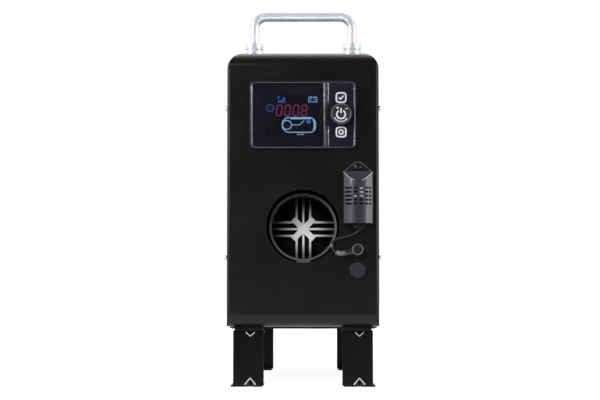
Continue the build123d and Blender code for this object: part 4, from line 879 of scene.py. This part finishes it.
# ---------------------------------------------------------------- operators
class HEATER_OT_stage(bpy.types.Operator):
    """Build the pale floor, the studio light and the camera"""

    bl_idname = "heater.stage"
    bl_label = "Stage"

    def execute(self, context):
        settings = context.scene.heater_stage
        context.scene.view_settings.view_transform = "Standard"
        self.camera(context, settings)
        self.world(context)
        self.floor(context, settings)
        self.lamps(context, settings)
        return {"FINISHED"}

    def camera(self, context, settings):
        """Camera at the photograph's angle."""
        data = bpy.data.cameras.new("camera")
        data.lens = settings.lens
        data.sensor_width = 36
        camera = bpy.data.objects.new("camera", data)
        camera.location = CAMERA_PLACE
        camera.rotation_euler = Euler((math.radians(90 + CAMERA_PITCH), 0, math.radians(CAMERA_TURN)))
        context.scene.collection.objects.link(camera)
        context.scene.camera = camera

    def world(self, context):
        """White surroundings for what mirrors them, dim in front of the heater, where the studio was dark."""
        world = bpy.data.worlds.new("studio")
        world.use_nodes = True
        tree = world.node_tree
        way = tree.nodes.new("ShaderNodeTexCoord").outputs["Generated"]
        ahead = self.dimmed(tree, way, (0.05, -0.998, 0.02), 0.80, 0.985, 0.06)
        overhead = self.dimmed(tree, way, (0.0, -0.57, 0.82), 0.55, 0.90, 0.12)
        rays = tree.nodes.new("ShaderNodeLightPath").outputs
        bounced = times(tree, calculate(tree, "GREATER_THAN", rays["Diffuse Depth"], 0.5), 0.45)
        mirrored = times(tree, calculate(tree, "GREATER_THAN", rays["Glossy Depth"], 0.5), ahead, overhead)
        turned_away = calculate(tree, "MAXIMUM", bounced, mirrored)
        total = calculate(tree, "MAXIMUM", self.straight(tree, rays), turned_away)
        connect(tree, tree.nodes["Background"].inputs, {"Strength": total, "Color": (1, 1, 1, 1)})
        context.scene.world = world

    def straight(self, tree, rays):
        """One for a ray that came straight from the camera, or only through glass."""
        return calculate(tree, "LESS_THAN", plus(tree, rays["Diffuse Depth"], rays["Glossy Depth"]), 0.5)

    def dimmed(self, tree, way, middle, edge_cosine, core_cosine, least):
        """Brightness that falls smoothly to its least inside a cone round a middle way."""
        towards = vector_math(tree, "DOT_PRODUCT", way, middle)["Value"]
        return remap(tree, towards, edge_cosine, core_cosine, 1.0, least, interpolation_type="SMOOTHSTEP")

    def floor(self, context, settings):
        """Large pale floor that keeps the heater's faint shadow and is white further off; near the heater it glows
        for glossy rays alone, a painted reflection for the case's lower bends.
        """
        form = bmesh.new()
        bmesh.ops.create_circle(form, cap_ends=True, segments=96, radius=14)
        mesh = bpy.data.meshes.new("floor")
        form.to_mesh(mesh)
        form.free()
        material, tree, shader, place = new_finish("studio floor", Roughness=0.9, Specular_IOR_Level=0.0)
        surface = grained(tree, place, 0.01, 0.9, 0.05)
        rays = tree.nodes.new("ShaderNodeLightPath").outputs
        distance = vector_math(tree, "LENGTH", place)["Value"]
        # Painted reflection: near the heater the floor glows for glossy rays only.
        mirrored = times(tree, rays["Is Glossy Ray"], remap(tree, distance, 0.30, 0.46, 1.0, 0.0))
        seen = times(tree, self.straight(tree, rays), remap(tree, distance, 0.25, 1.1, 0.86, 1.0))
        connect(tree, shader, {
            "Base Color": shades(tree, surface["Tone"], 0.0, 1.0, settings.floor_colour, 0.99, 1.0),
            "Emission Strength": calculate(tree, "MAXIMUM", seen, mirrored), "Emission Color": (1, 1, 1, 1)})
        mesh.materials.append(material)
        floor = bpy.data.objects.new("floor", mesh)
        context.scene.collection.objects.link(floor)

    def lamps(self, context, settings):
        """Soft lamp over the camera, which nothing mirrors, one at the right, and two that are only mirrored."""
        for name, place, size, power, mirrored, spread in (
            ("front lamp", (-0.35, -1.7, 0.75), 0.6, settings.front_power, False, True),
            ("side lamp", (1.45, -0.62, 0.35), 0.6, settings.key_power, True, True),
            ("top card", (0.0, 1.8, 1.3), 0.9, settings.card_power, True, False),
            ("left card", (-1.2, -1.0, 0.75), 0.45, settings.fill_power, True, False),
        ):
            data = bpy.data.lights.new(name, "AREA")
            data.size = size
            data.energy = power
            lamp = bpy.data.objects.new(name, data)
            lamp.location = place
            lamp.visible_glossy = lamp.visible_transmission = mirrored
            lamp.visible_diffuse = spread
            lamp.visible_camera = False
            way = Vector((0, 0, 0.2)) - lamp.location
            lamp.rotation_euler = way.to_track_quat("-Z", "Y").to_euler()
            context.scene.collection.objects.link(lamp)


class HEATER_OT_sensor_cord(bpy.types.Operator):
    """Build the sensor's cord and the plug at its end"""

    bl_idname = "heater.sensor_cord"
    bl_label = "Sensor Cord"

    def execute(self, context):
        plug = finished_copy("jack_plug", "glossy sheath", 0.00015)
        ribs = self.relief_ribs()
        # Thin lighter ring on the plug's head: a painted highlight on its chamfer.
        edge = eased([(5.45, 11.4), (5.62, 11.62), (4.72, 12.52), (4.5, 12.4)], 0.06, 2, True)
        form = turned(bmesh.new(), edge, at(PLUG[0], 0, PLUG[1]), TOWARDS_VIEWER)
        rim = place_piece("plug_head_rim", settle(form, 50), "case", "worn edge")
        curve = bpy.data.curves.new("sensor_cord_sheath", "CURVE")
        curve.dimensions = "3D"
        curve.bevel_depth = CORD_DIAMETER / 2
        curve.bevel_resolution = 6
        curve.resolution_u = 24
        curve.use_fill_caps = True
        spline = curve.splines.new("NURBS")
        spline.points.add(len(CORD_ROUTE) - 1)
        for point, place in zip(spline.points, CORD_ROUTE):
            point.co = (*place, 1.0)
        spline.order_u = 3
        spline.use_endpoint_u = True
        curve.materials.append(finish_of("glossy sheath"))
        sheath = bpy.data.objects.new("sensor_cord_sheath", curve)
        context.scene.collection.objects.link(sheath)
        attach(sheath, "case")
        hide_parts("sensor_cord")
        return {"FINISHED"}

    def relief_ribs(self):
        """Rounded ribs round the plug's strain relief, which bends from the body down to the cord."""
        count = 7
        places = []
        for rib in range(count):
            out = direction(RELIEF_START + RELIEF_TURN * (rib + 0.5) / count)
            spot = Vector(RELIEF_BEND) + out * RELIEF_RADIUS
            places.append((at(spot.x, RELIEF_DEPTH, spot.y), Vector((-out.y, 0, out.x))))
        # The ribs' lighter grey is a painted sheen that stands for their highlights.
        mesh = grow(rib_tree, places, {"Crest Radius": 0.0025, "Width": 0.0008}, "moulded rib", 40)
        return place_piece("plug_relief_ribs", mesh, "case")


class HEATER_OT_case(bpy.types.Operator):
    """Build the bent sheets of the case and its legs"""

    bl_idname = "heater.case"
    bl_label = "Case and Legs"

    def execute(self, context):
        edge = context.scene.heater_case.edge_round
        for node, width in (("front_panel", edge), ("cover", 0.0005), ("rear_panel", edge), ("base_plate", edge)):
            finished_copy(node, "case powder coat", width, 3)
        # Pale strokes along the legs' darts: painted glints.
        worn = bmesh.new()
        for node in ("leg_front_left", "leg_front_right", "leg_rear_left", "leg_rear_right"):
            form = merged_form(node)
            self.press_darts(form, node, worn)
            finished_copy(node, "leg powder coat", edge, form=form)
        place_piece("leg_dart_glints", settle(worn, 50), "case", "rubbed coat")
        self.cover_rim()
        return {"FINISHED"}

    def cover_rim(self):
        """Front edge of the cover over the panel's top bend, in a lighter coat: a painted highlight where the edge
        catches light from above.
        """
        bend, depth, thickness = 14.4, 10.8, 0.93
        corner = [Vector(COVER_CORNER) + direction(35 + 5 * step) * bend for step in range(12)]
        line = [at(spot.x, depth, spot.y) for spot in corner]
        line += [Vector((-spot.x, spot.y, spot.z)) for spot in reversed(line)]
        form = swept(bmesh.new(), line, thickness * MM, 12)
        place_piece("cover_front_rim", settle(form, 50), "case", "worn cover edge")

    def press_darts(self, form, node, worn):
        """Makes a leg's two darts larger, shifts them, and adds pale strokes along their edges: painted glints."""
        rear = "rear" in node
        centre = LEG_CENTRE if "right" in node else -LEG_CENTRE
        inward = -1 if rear else 1
        face = REAR / MM - LEG_SETBACK if rear else FRONT / MM + LEG_SETBACK

        def dart_point(x, back, level):
            """Point in metres; level is the height over the ground, or the depth below the leg's top."""
            height = level if foot else LEG_HEIGHT - level
            return Vector((centre + DART_SHIFT + x, face + inward * back, height)) * MM

        def half_width(reach, back, level):
            """Distance from the dart's middle to its edge."""
            return flare * (reach - level - back) / math.sqrt(2)

        for foot, reach, flare, stroke, bend_points in DARTS:
            for vertex in form.verts:
                x = vertex.co.x / MM - centre
                back = (vertex.co.y / MM - face) * inward
                level = vertex.co.z / MM if foot else LEG_HEIGHT - vertex.co.z / MM
                if abs(x) > DART_ZONE[0] or max(back, level) > DART_ZONE[1]:
                    continue
                offset = LEG_SHEET if min(back, level) > LEG_SHEET - 0.01 else 0
                if abs(x) > 0.05:
                    x = math.copysign(half_width(reach + 2 * offset, back, level), x)
                elif back < level:
                    level = reach + offset
                else:
                    back = reach + offset
                vertex.co = dart_point(x, back, level)
            spots = [(0.0, reach), (0.0, (reach + LEG_BEND) / 2)]
            for step in range(bend_points):
                turn = direction(10 * step)
                spots.append((LEG_BEND - LEG_BEND * turn.x, LEG_BEND - LEG_BEND * turn.y))
            for side in (-1, 1):
                line = [dart_point(side * half_width(reach, back, level), back, level) for back, level in spots]
                swept(worn, line, stroke * MM, 10)


class HEATER_OT_handles(bpy.types.Operator):
    """Build the chromed carrying handles and their ferrules"""

    bl_idname = "heater.handles"
    bl_label = "Handles"

    def execute(self, context):
        radius = context.scene.heater_case.rod_radius
        band = eased([(5.05, 0), (9.25, 0), (9.25, 6.5), (8.65, 7.45), (9.25, 8.4), (9.25, 14.9), (5.05, 14.9)],
                     1.1, 5)
        ferrules = bmesh.new()
        for node in ("front_handle", "rear_handle"):
            low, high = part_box(node)
            self.rod(node, low, high, radius)
            for x in (low.x + FERRULE_INSET * MM, high.x - FERRULE_INSET * MM):
                turned(ferrules, band, Vector((x, (low.y + high.y) / 2, CASE_TOP)), UPWARDS)
        place_piece("handle_ferrules_turned", settle(ferrules, 50), "case", "bright chrome",
                    ("handle_ferrules",))
        return {"FINISHED"}

    def rod(self, node, low, high, radius):
        """U of rod with two quarter bends."""
        bend, straight = 0.012, 0.02
        depth = (low.y + high.y) / 2
        left, right, crown = low.x + radius, high.x - radius, high.z - radius
        path = [Vector((left, depth, low.z)), Vector((left, depth, low.z + straight))]
        for centre, start in ((left + bend, 180), (right - bend, 90)):
            for step in range(17):
                way = direction(start - 90 * step / 16) * bend
                path.append(Vector((centre + way.x, depth, crown - bend + way.y)))
        path += [Vector((right, depth, low.z + straight)), Vector((right, depth, low.z))]
        form = swept(bmesh.new(), path, radius, 48)
        place_piece(node + "_rod", settle(form, 60), "case", "bright chrome", (node,))


class HEATER_OT_hardware(bpy.types.Operator):
    """Grow the screws and bolts by Geometry Nodes, over the legs' rubber pads"""

    bl_idname = "heater.hardware"
    bl_label = "Screws, Bolts and Pads"

    def execute(self, context):
        sizes = context.scene.heater_hardware
        inset = SCREW_INSET * MM
        screws = [
            (Vector((side * CASE_SIDE, y, z * MM)), Vector((side, 0, 0)))
            for side in (-1, 1) for y in (FRONT + inset, REAR - inset) for z in SCREW_HEIGHTS
        ]
        mesh = grow(pan_screw_tree, screws, {
            "Head Radius": sizes.head_radius, "Head Height": sizes.head_height}, "zinc plating", 35)
        place_piece("cover_pan_screws", mesh, "case", nodes=("cover_screws",))
        under_leg_top = (LEG_HEIGHT - LEG_SHEET) * MM
        bolts = [
            (Vector((side * LEG_CENTRE * MM, y, under_leg_top)), -UPWARDS)
            for side in (-1, 1) for back in BOLT_SETBACKS for y in (FRONT + back * MM, REAR - back * MM)
        ]
        mesh = grow(hex_bolt_tree, bolts, {"Corner Radius": sizes.bolt_radius}, "zinc plating")
        break_edges(place_piece("leg_hexagon_bolts", mesh, "case", nodes=("leg_bolts",)), 0.00025)
        finished_copy("leg_pads", "soft black rubber", 0.0003)
        dress({"handle_screws": "zinc plating"})
        return {"FINISHED"}


class HEATER_OT_controller(bpy.types.Operator):
    """Build the controller: housing, bezel lines, window, display, knob and keys"""

    bl_idname = "heater.controller"
    bl_label = "Controller"

    def execute(self, context):
        finished_copy("controller_housing", "key field", 0.0002)
        dress({
            "lcd_panel": "display ground", "controller_board": "green board", "rotary_encoder": "drawn steel",
            "encoder_rotor": "grey housing", "knob_shaft": "drawn steel"})
        self.window()
        self.bezel_lines()
        self.display()
        self.knob()
        self.keys()
        return {"FINISHED"}

    def window(self):
        """Glass over the display, with a painted mask behind it."""
        finished_copy("screen_lens", "window glass", 0.0004, 3)
        low, high = (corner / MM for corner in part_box("screen_lens"))
        margin = 0.25
        form = bmesh.new()
        outer = rounded_box(low.x + margin, high.x - margin, low.z + margin, high.z - margin, 3.3)
        raised_frame(form, outer, rounded_box(-36.9, 15.6, 249.9, 291.5, 0.3), (-2.68, -2.62))
        place_piece("window_mask", settle(form), "case", "dark mask")

    def bezel_lines(self):
        """Bright metal rim round the controller's face, a painted highlight on the housing's edge, with the broad
        bar and the thin line between window and keys.
        """
        form = bmesh.new()
        raised_frame(form, rounded_box(-51.5, 51.9, 237.75, 303.35, 4.0),
                     rounded_box(-49.9, 50.7, 238.65, 302.45, 3.0), BEZEL_DEPTHS)
        raised_shape(form, rounded_box(21.0, 23.2, 238.8, 302.3, 0.5), BEZEL_DEPTHS)
        for low, high in ((238.8, KNOB_Z - 11.5), (KNOB_Z + 11.5, 302.3)):
            raised_shape(form, rounded_box(24.95, 25.85, low, high, 0.3), (-5.25, BEZEL_DEPTHS[1]))
        break_edges(place_piece("bezel_lines", settle(form), "case", "bezel line"), 0.0004, 3)

    def display(self):
        """Digits, signal, battery and clock signs and a generic heater drawing."""
        first, pitch = -26.9, 8.35
        digits = []
        for place, digit in enumerate("0008"):
            digits += self.digit(digit, first + pitch * place)
        battery = [(5.8, 283.6), (13.9, 283.6), (13.9, 287.9), (5.8, 287.9)]
        housing = eased([(-16.4, 267.9), (9.0, 267.9), (12.6, 263.9), (12.6, 256.6), (9.2, 253.2),
                         (-16.0, 253.2), (-20.4, 257.2), (-20.4, 264.0)], 1.8, 3, closed=True)
        for name, light, lines, shapes in (
            ("digits", "digit", digits, ()),
            ("signal", "signal", [
                ([(-25.4, 289.4), (-24.3, 287.0), (-23.2, 289.4)], 0.8),
                ([(-24.3, 287.0), (-24.3, 283.0)], 0.8),
            ], [rounded_box(-23.9 + 1.6 * bar, -22.7 + 1.6 * bar, 282.9, 284.4 + 1.35 * bar, 0.1, 2)
                for bar in range(4)]),
            ("battery", "battery", [(battery, 0.9, True)],
             [rounded_box(x, x + 2.0, 288.2, 289.2, 0.2, 2) for x in (6.6, 11.1)]
             + [rounded_box(x, x + 1.6, 285.4, 286.2, 0.2, 2) for x in (6.9, 11.4)]),
            ("clock", "clock", [
                (circle_points((-32.6, 277.7), 3.5), 0.9, True),
                ([(-32.6, 279.5), (-32.6, 277.6), (-31.1, 276.6)], 0.6),
            ], ()),
            ("heater_drawing", "drawing", [
                (housing, 0.95, True),
                ([(-12.4, 266.9), (8.2, 266.9)], 1.3),
                (circle_points((-15.8, 260.6), 4.5), 1.0, True),
                ([(-10.6, 260.6), (-3.4, 260.6), (1.4, 264.8)], 0.8),
                ([(10.4, 265.2), (11.4, 262.6), (11.4, 258.4), (10.4, 255.6)], 1.3),
                (circle_points((-4.4, 251.9), 1.2, 180, 360, 8), 0.8),
                (circle_points((-0.4, 251.9), 1.2, 180, 360, 8), 0.8),
            ], ()),
            ("level", "signal", (), [rounded_box(3.6, 7.6, 262.0, 265.6, 0.4)]),
        ):
            sign("display_" + name, light + " light", DISPLAY_DEPTHS, lines, shapes)

    def digit(self, digit, left):
        """Strokes of one slanted digit."""
        width, height, gap, slant = 4.9, 10.4, 0.45, 0.09
        middle = height / 2
        corners = [(0, middle), (0, height), (width, height), (width, middle), (width, 0), (0, 0), (0, middle)]
        strokes = list(zip(corners, corners[1:])) + ([((0, middle), (width, middle))] if digit == "8" else [])
        lines = []
        for ends in strokes:
            start, end = map(Vector, ends)
            way = (end - start).normalized() * gap
            spots = [(left + 0.3 + spot.x + slant * spot.y, 269.9 + spot.y) for spot in (start + way, end - way)]
            lines.append((spots, 1.0))
        return lines

    def knob(self):
        """Turned knob with printed signs and a bright rim, a painted highlight on its lip, which all ride on it.
        """
        centre = at(KEY_X, 0, KNOB_Z)
        profile = eased([(0, 15.6), (8.6, 15.6), (9.1, 16.2), (10.1, 16.2), (10.5, 15.5), (10.5, 6.2),
                         (8.9, 6.2), (8.9, 14.0), (2.1, 14.0), (2.1, 13.4), (0, 13.4)], 0.35)
        form = turned(bmesh.new(), profile, centre, TOWARDS_VIEWER, 128)
        place_piece("knob_turned", settle(form, 35), "knob", "knob plastic", ("knob",))
        middle = Vector((KEY_X - 0.2, KNOB_Z - 0.6))
        base, tip = map(Vector, circle_points(middle, 7.1, 312, 330, 2))
        across = (tip - base).normalized().orthogonal() * 1.2
        sign("knob_signs", "printed white", KNOB_SIGN_DEPTHS, [
            (circle_points(middle, 4.2, 122, 418, 40), 1.35),
            ([middle + Vector((0, 1.2)), middle + Vector((0, 6.2))], 1.35),
            (circle_points(middle, 7.1, 205, 312, 24), 0.8),
            ([(33.2, 276.2), (35.6, 276.2)], 0.7),
            ([(34.4, 275.0), (34.4, 277.4)], 0.7, False, CROSSING),
            ([(42.0, 275.3), (44.4, 275.3)], 0.7),
        ], [[base + across, base - across, tip]], "knob")
        # Thin lighter ring on the knob's lip: a painted highlight.
        rim = eased([(9.25, 16.05), (10.0, 16.05), (10.0, 16.35), (9.25, 16.35)], 0.1, 2, True)
        form = turned(bmesh.new(), rim, centre, TOWARDS_VIEWER, 128)
        place_piece("knob_bright_rim", settle(form, 50), "knob", "worn edge")

    def keys(self):
        """Two square keys, each with a white ring and a sign."""
        for node, z in KEYS.items():
            finished_copy(node, "key plastic", 0.0003, 3)
            ring = rounded_box(KEY_X - 4.7, KEY_X + 4.7, z - 4.7, z + 4.7, 2.7, 4)
            tick = [([(KEY_X - 2.3, z + 0.1), (KEY_X - 0.7, z - 1.6), (KEY_X + 2.4, z + 1.8)], 1.3)]
            lines = tick if node == "ok_button" else self.gear(Vector((KEY_X, z)))
            sign(node + "_sign", "printed white", KEY_SIGN_DEPTHS, [(ring, 1.4, True), *lines],
                 body=node)

    def gear(self, middle):
        """Lines of a small toothed wheel with an open middle."""
        lines = [(circle_points(middle, 1.75, count=24), 1.0, True)]
        for tooth in range(8):
            way = direction(45 * tooth)
            lines.append(([middle + way * 1.9, middle + way * 3.1], 0.8, False, CROSSING))
        return lines


class HEATER_OT_sensor(bpy.types.Operator):
    """Build the temperature sensor's pod, its screw, the jack and the blanking plug"""

    bl_idname = "heater.sensor"
    bl_label = "Sensor and Jack"

    def execute(self, context):
        finished_copy("sensor_cover", "sensor plastic", 0.0004)
        self.hip_lines()
        finished_copy("sensor_back", "sensor plate", 0.0002)
        # The gland's darker rubber is painted shade from the pod above it.
        finished_copy("sensor_gland", "gland rubber", 0.0002)
        screw = grow(pan_screw_tree, [(at(*POD_SCREW), TOWARDS_VIEWER)], {
            "Head Radius": 0.0036, "Head Height": 0.0022, "Shank Radius": 0.0015,
            "Recess Width": 0.0010, "Recess Depth": 0.0014}, "blackened steel", 35)
        place_piece("sensor_pan_screw", screw, "case", nodes=("sensor_screw",))
        # Lighter line along the tab's outline: a painted highlight on its edge.
        sign("sensor_tab_edge", "worn edge", (-2.56, -2.44), [
            ([(40.7, 213.9), (51.7, 223.3), (57.4, 223.3), (68.4, 213.9)], 0.55)])
        break_edges(sign("sensing_element", "pale cap", (-16.9, -11.5), (), [
            rounded_box(54.8, 59.4, 187.9, 198.6, 0.6), rounded_box(50.4, 53.0, 188.0, 190.6, 0.4)]), 0.0002)
        dress({"sensor_board": "sensor board", "jack_socket": "moulded plastic"})
        finished_copy("jack_nut", "zinc plating", 0.0002)
        finished_copy("hole_plug", "blanking plug rubber", 0.0003, 3)
        return {"FINISHED"}

    def hip_lines(self):
        """Pale lines on the edges between the pod's slope and its sides: painted glints."""
        skin = merged_form("sensor_cover")
        skin.normal_update()
        form = bmesh.new()
        for edge in skin.edges:
            middle = (edge.verts[0].co + edge.verts[1].co) / (2 * MM)
            sloping = HIP_HEIGHTS[0] < middle.z < HIP_HEIGHTS[1] and middle.y <= FRONT / MM + HIP_DEPTH
            if len(edge.link_faces) != 2 or not sloping:
                continue
            one, other = (face.normal for face in edge.link_faces)
            if (one.z > 0.3) != (other.z > 0.3) and one.dot(other) < 0.93:
                swept(form, [vertex.co.copy() for vertex in edge.verts], 0.22 * MM, 8)
        place_piece("sensor_hip_lines", settle(form, 50), "case", "rubbed coat")
        skin.free()


class HEATER_OT_outlet(bpy.types.Operator):
    """Build the warm-air outlet: its ring and the cast end of the heat exchanger"""

    bl_idname = "heater.outlet"
    bl_label = "Warm-Air Outlet"

    def execute(self, context):
        # Both finishes paint shade deeper in the outlet's bore.
        finished_copy("outlet_hood", "ring plastic", 0.0003)
        finished_copy("heat_exchanger", "exchanger casting", 0.0005)
        return {"FINISHED"}


class HEATER_OT_inside(bpy.types.Operator):
    """Put finishes on the heater core, the fuel system and what else is inside"""

    bl_idname = "heater.inside"
    bl_label = "Inner Pieces"

    def execute(self, context):
        finished_copy("filler_cap", "soft black rubber", 0.0004)
        finished_copy("power_gland", "soft black rubber", 0.0003)
        finished_copy("core_intake_guard", "core plastic", 0.0004)
        dress({
            "core_shell_upper": "core plastic", "core_shell_lower": "core plastic", "burner": "drawn steel",
            "glow_plug": "drawn steel", "blower_housing": "bare casting", "blower_motor": "motor can",
            "motor_shaft": "drawn steel", "combustion_fan": "bare casting", "air_impeller": "core plastic",
            "control_unit": "grey housing", "core_gasket": "pressed gasket", "core_bracket": "zinc plating",
            "exhaust_stub": "drawn steel", "combustion_air_stub": "bare casting", "fuel_tank": "tank moulding",
            "cap_seal": "soft black rubber", "fuel_filter": "fuel line nylon", "fuel_pump": "motor can",
            "pump_holder": "soft black rubber", "fuel_lines": "fuel line nylon",
        })
        return {"FINISHED"}


class HEATER_PT_panel(bpy.types.Panel):
    """Steps and settings of the air heater"""

    bl_idname = "HEATER_PT_panel"
    bl_label = "Air Heater"
    bl_space_type = "VIEW_3D"
    bl_region_type = "UI"
    bl_category = "Air Heater"

    def draw(self, context):
        for operator in OPERATORS:
            self.layout.operator(operator.bl_idname)
        for name, group in SETTINGS.items():
            box = self.layout.box()
            for entry in group.__annotations__:
                box.prop(getattr(context.scene, name), entry)


SETTINGS = {
    "heater_stage": HeaterStageSettings,
    "heater_case": HeaterCaseSettings,
    "heater_hardware": HeaterHardwareSettings,
    "heater_controller": HeaterControllerSettings,
}
OPERATORS = (
    HEATER_OT_stage,
    HEATER_OT_sensor_cord,
    HEATER_OT_case,
    HEATER_OT_handles,
    HEATER_OT_hardware,
    HEATER_OT_controller,
    HEATER_OT_sensor,
    HEATER_OT_outlet,
    HEATER_OT_inside,
)


def register():
    for entry in (*SETTINGS.values(), *OPERATORS, HEATER_PT_panel):
        bpy.utils.register_class(entry)
    for name, group in SETTINGS.items():
        setattr(bpy.types.Scene, name, bpy.props.PointerProperty(type=group))


def unregister():
    for name in SETTINGS:
        delattr(bpy.types.Scene, name)
    for entry in (HEATER_PT_panel, *reversed(OPERATORS), *reversed(SETTINGS.values())):
        bpy.utils.unregister_class(entry)


def main():
    register()
    for operator in OPERATORS:
        getattr(bpy.ops.heater, operator.bl_idname.split(".")[1])()


if __name__ == "__main__":
    main()
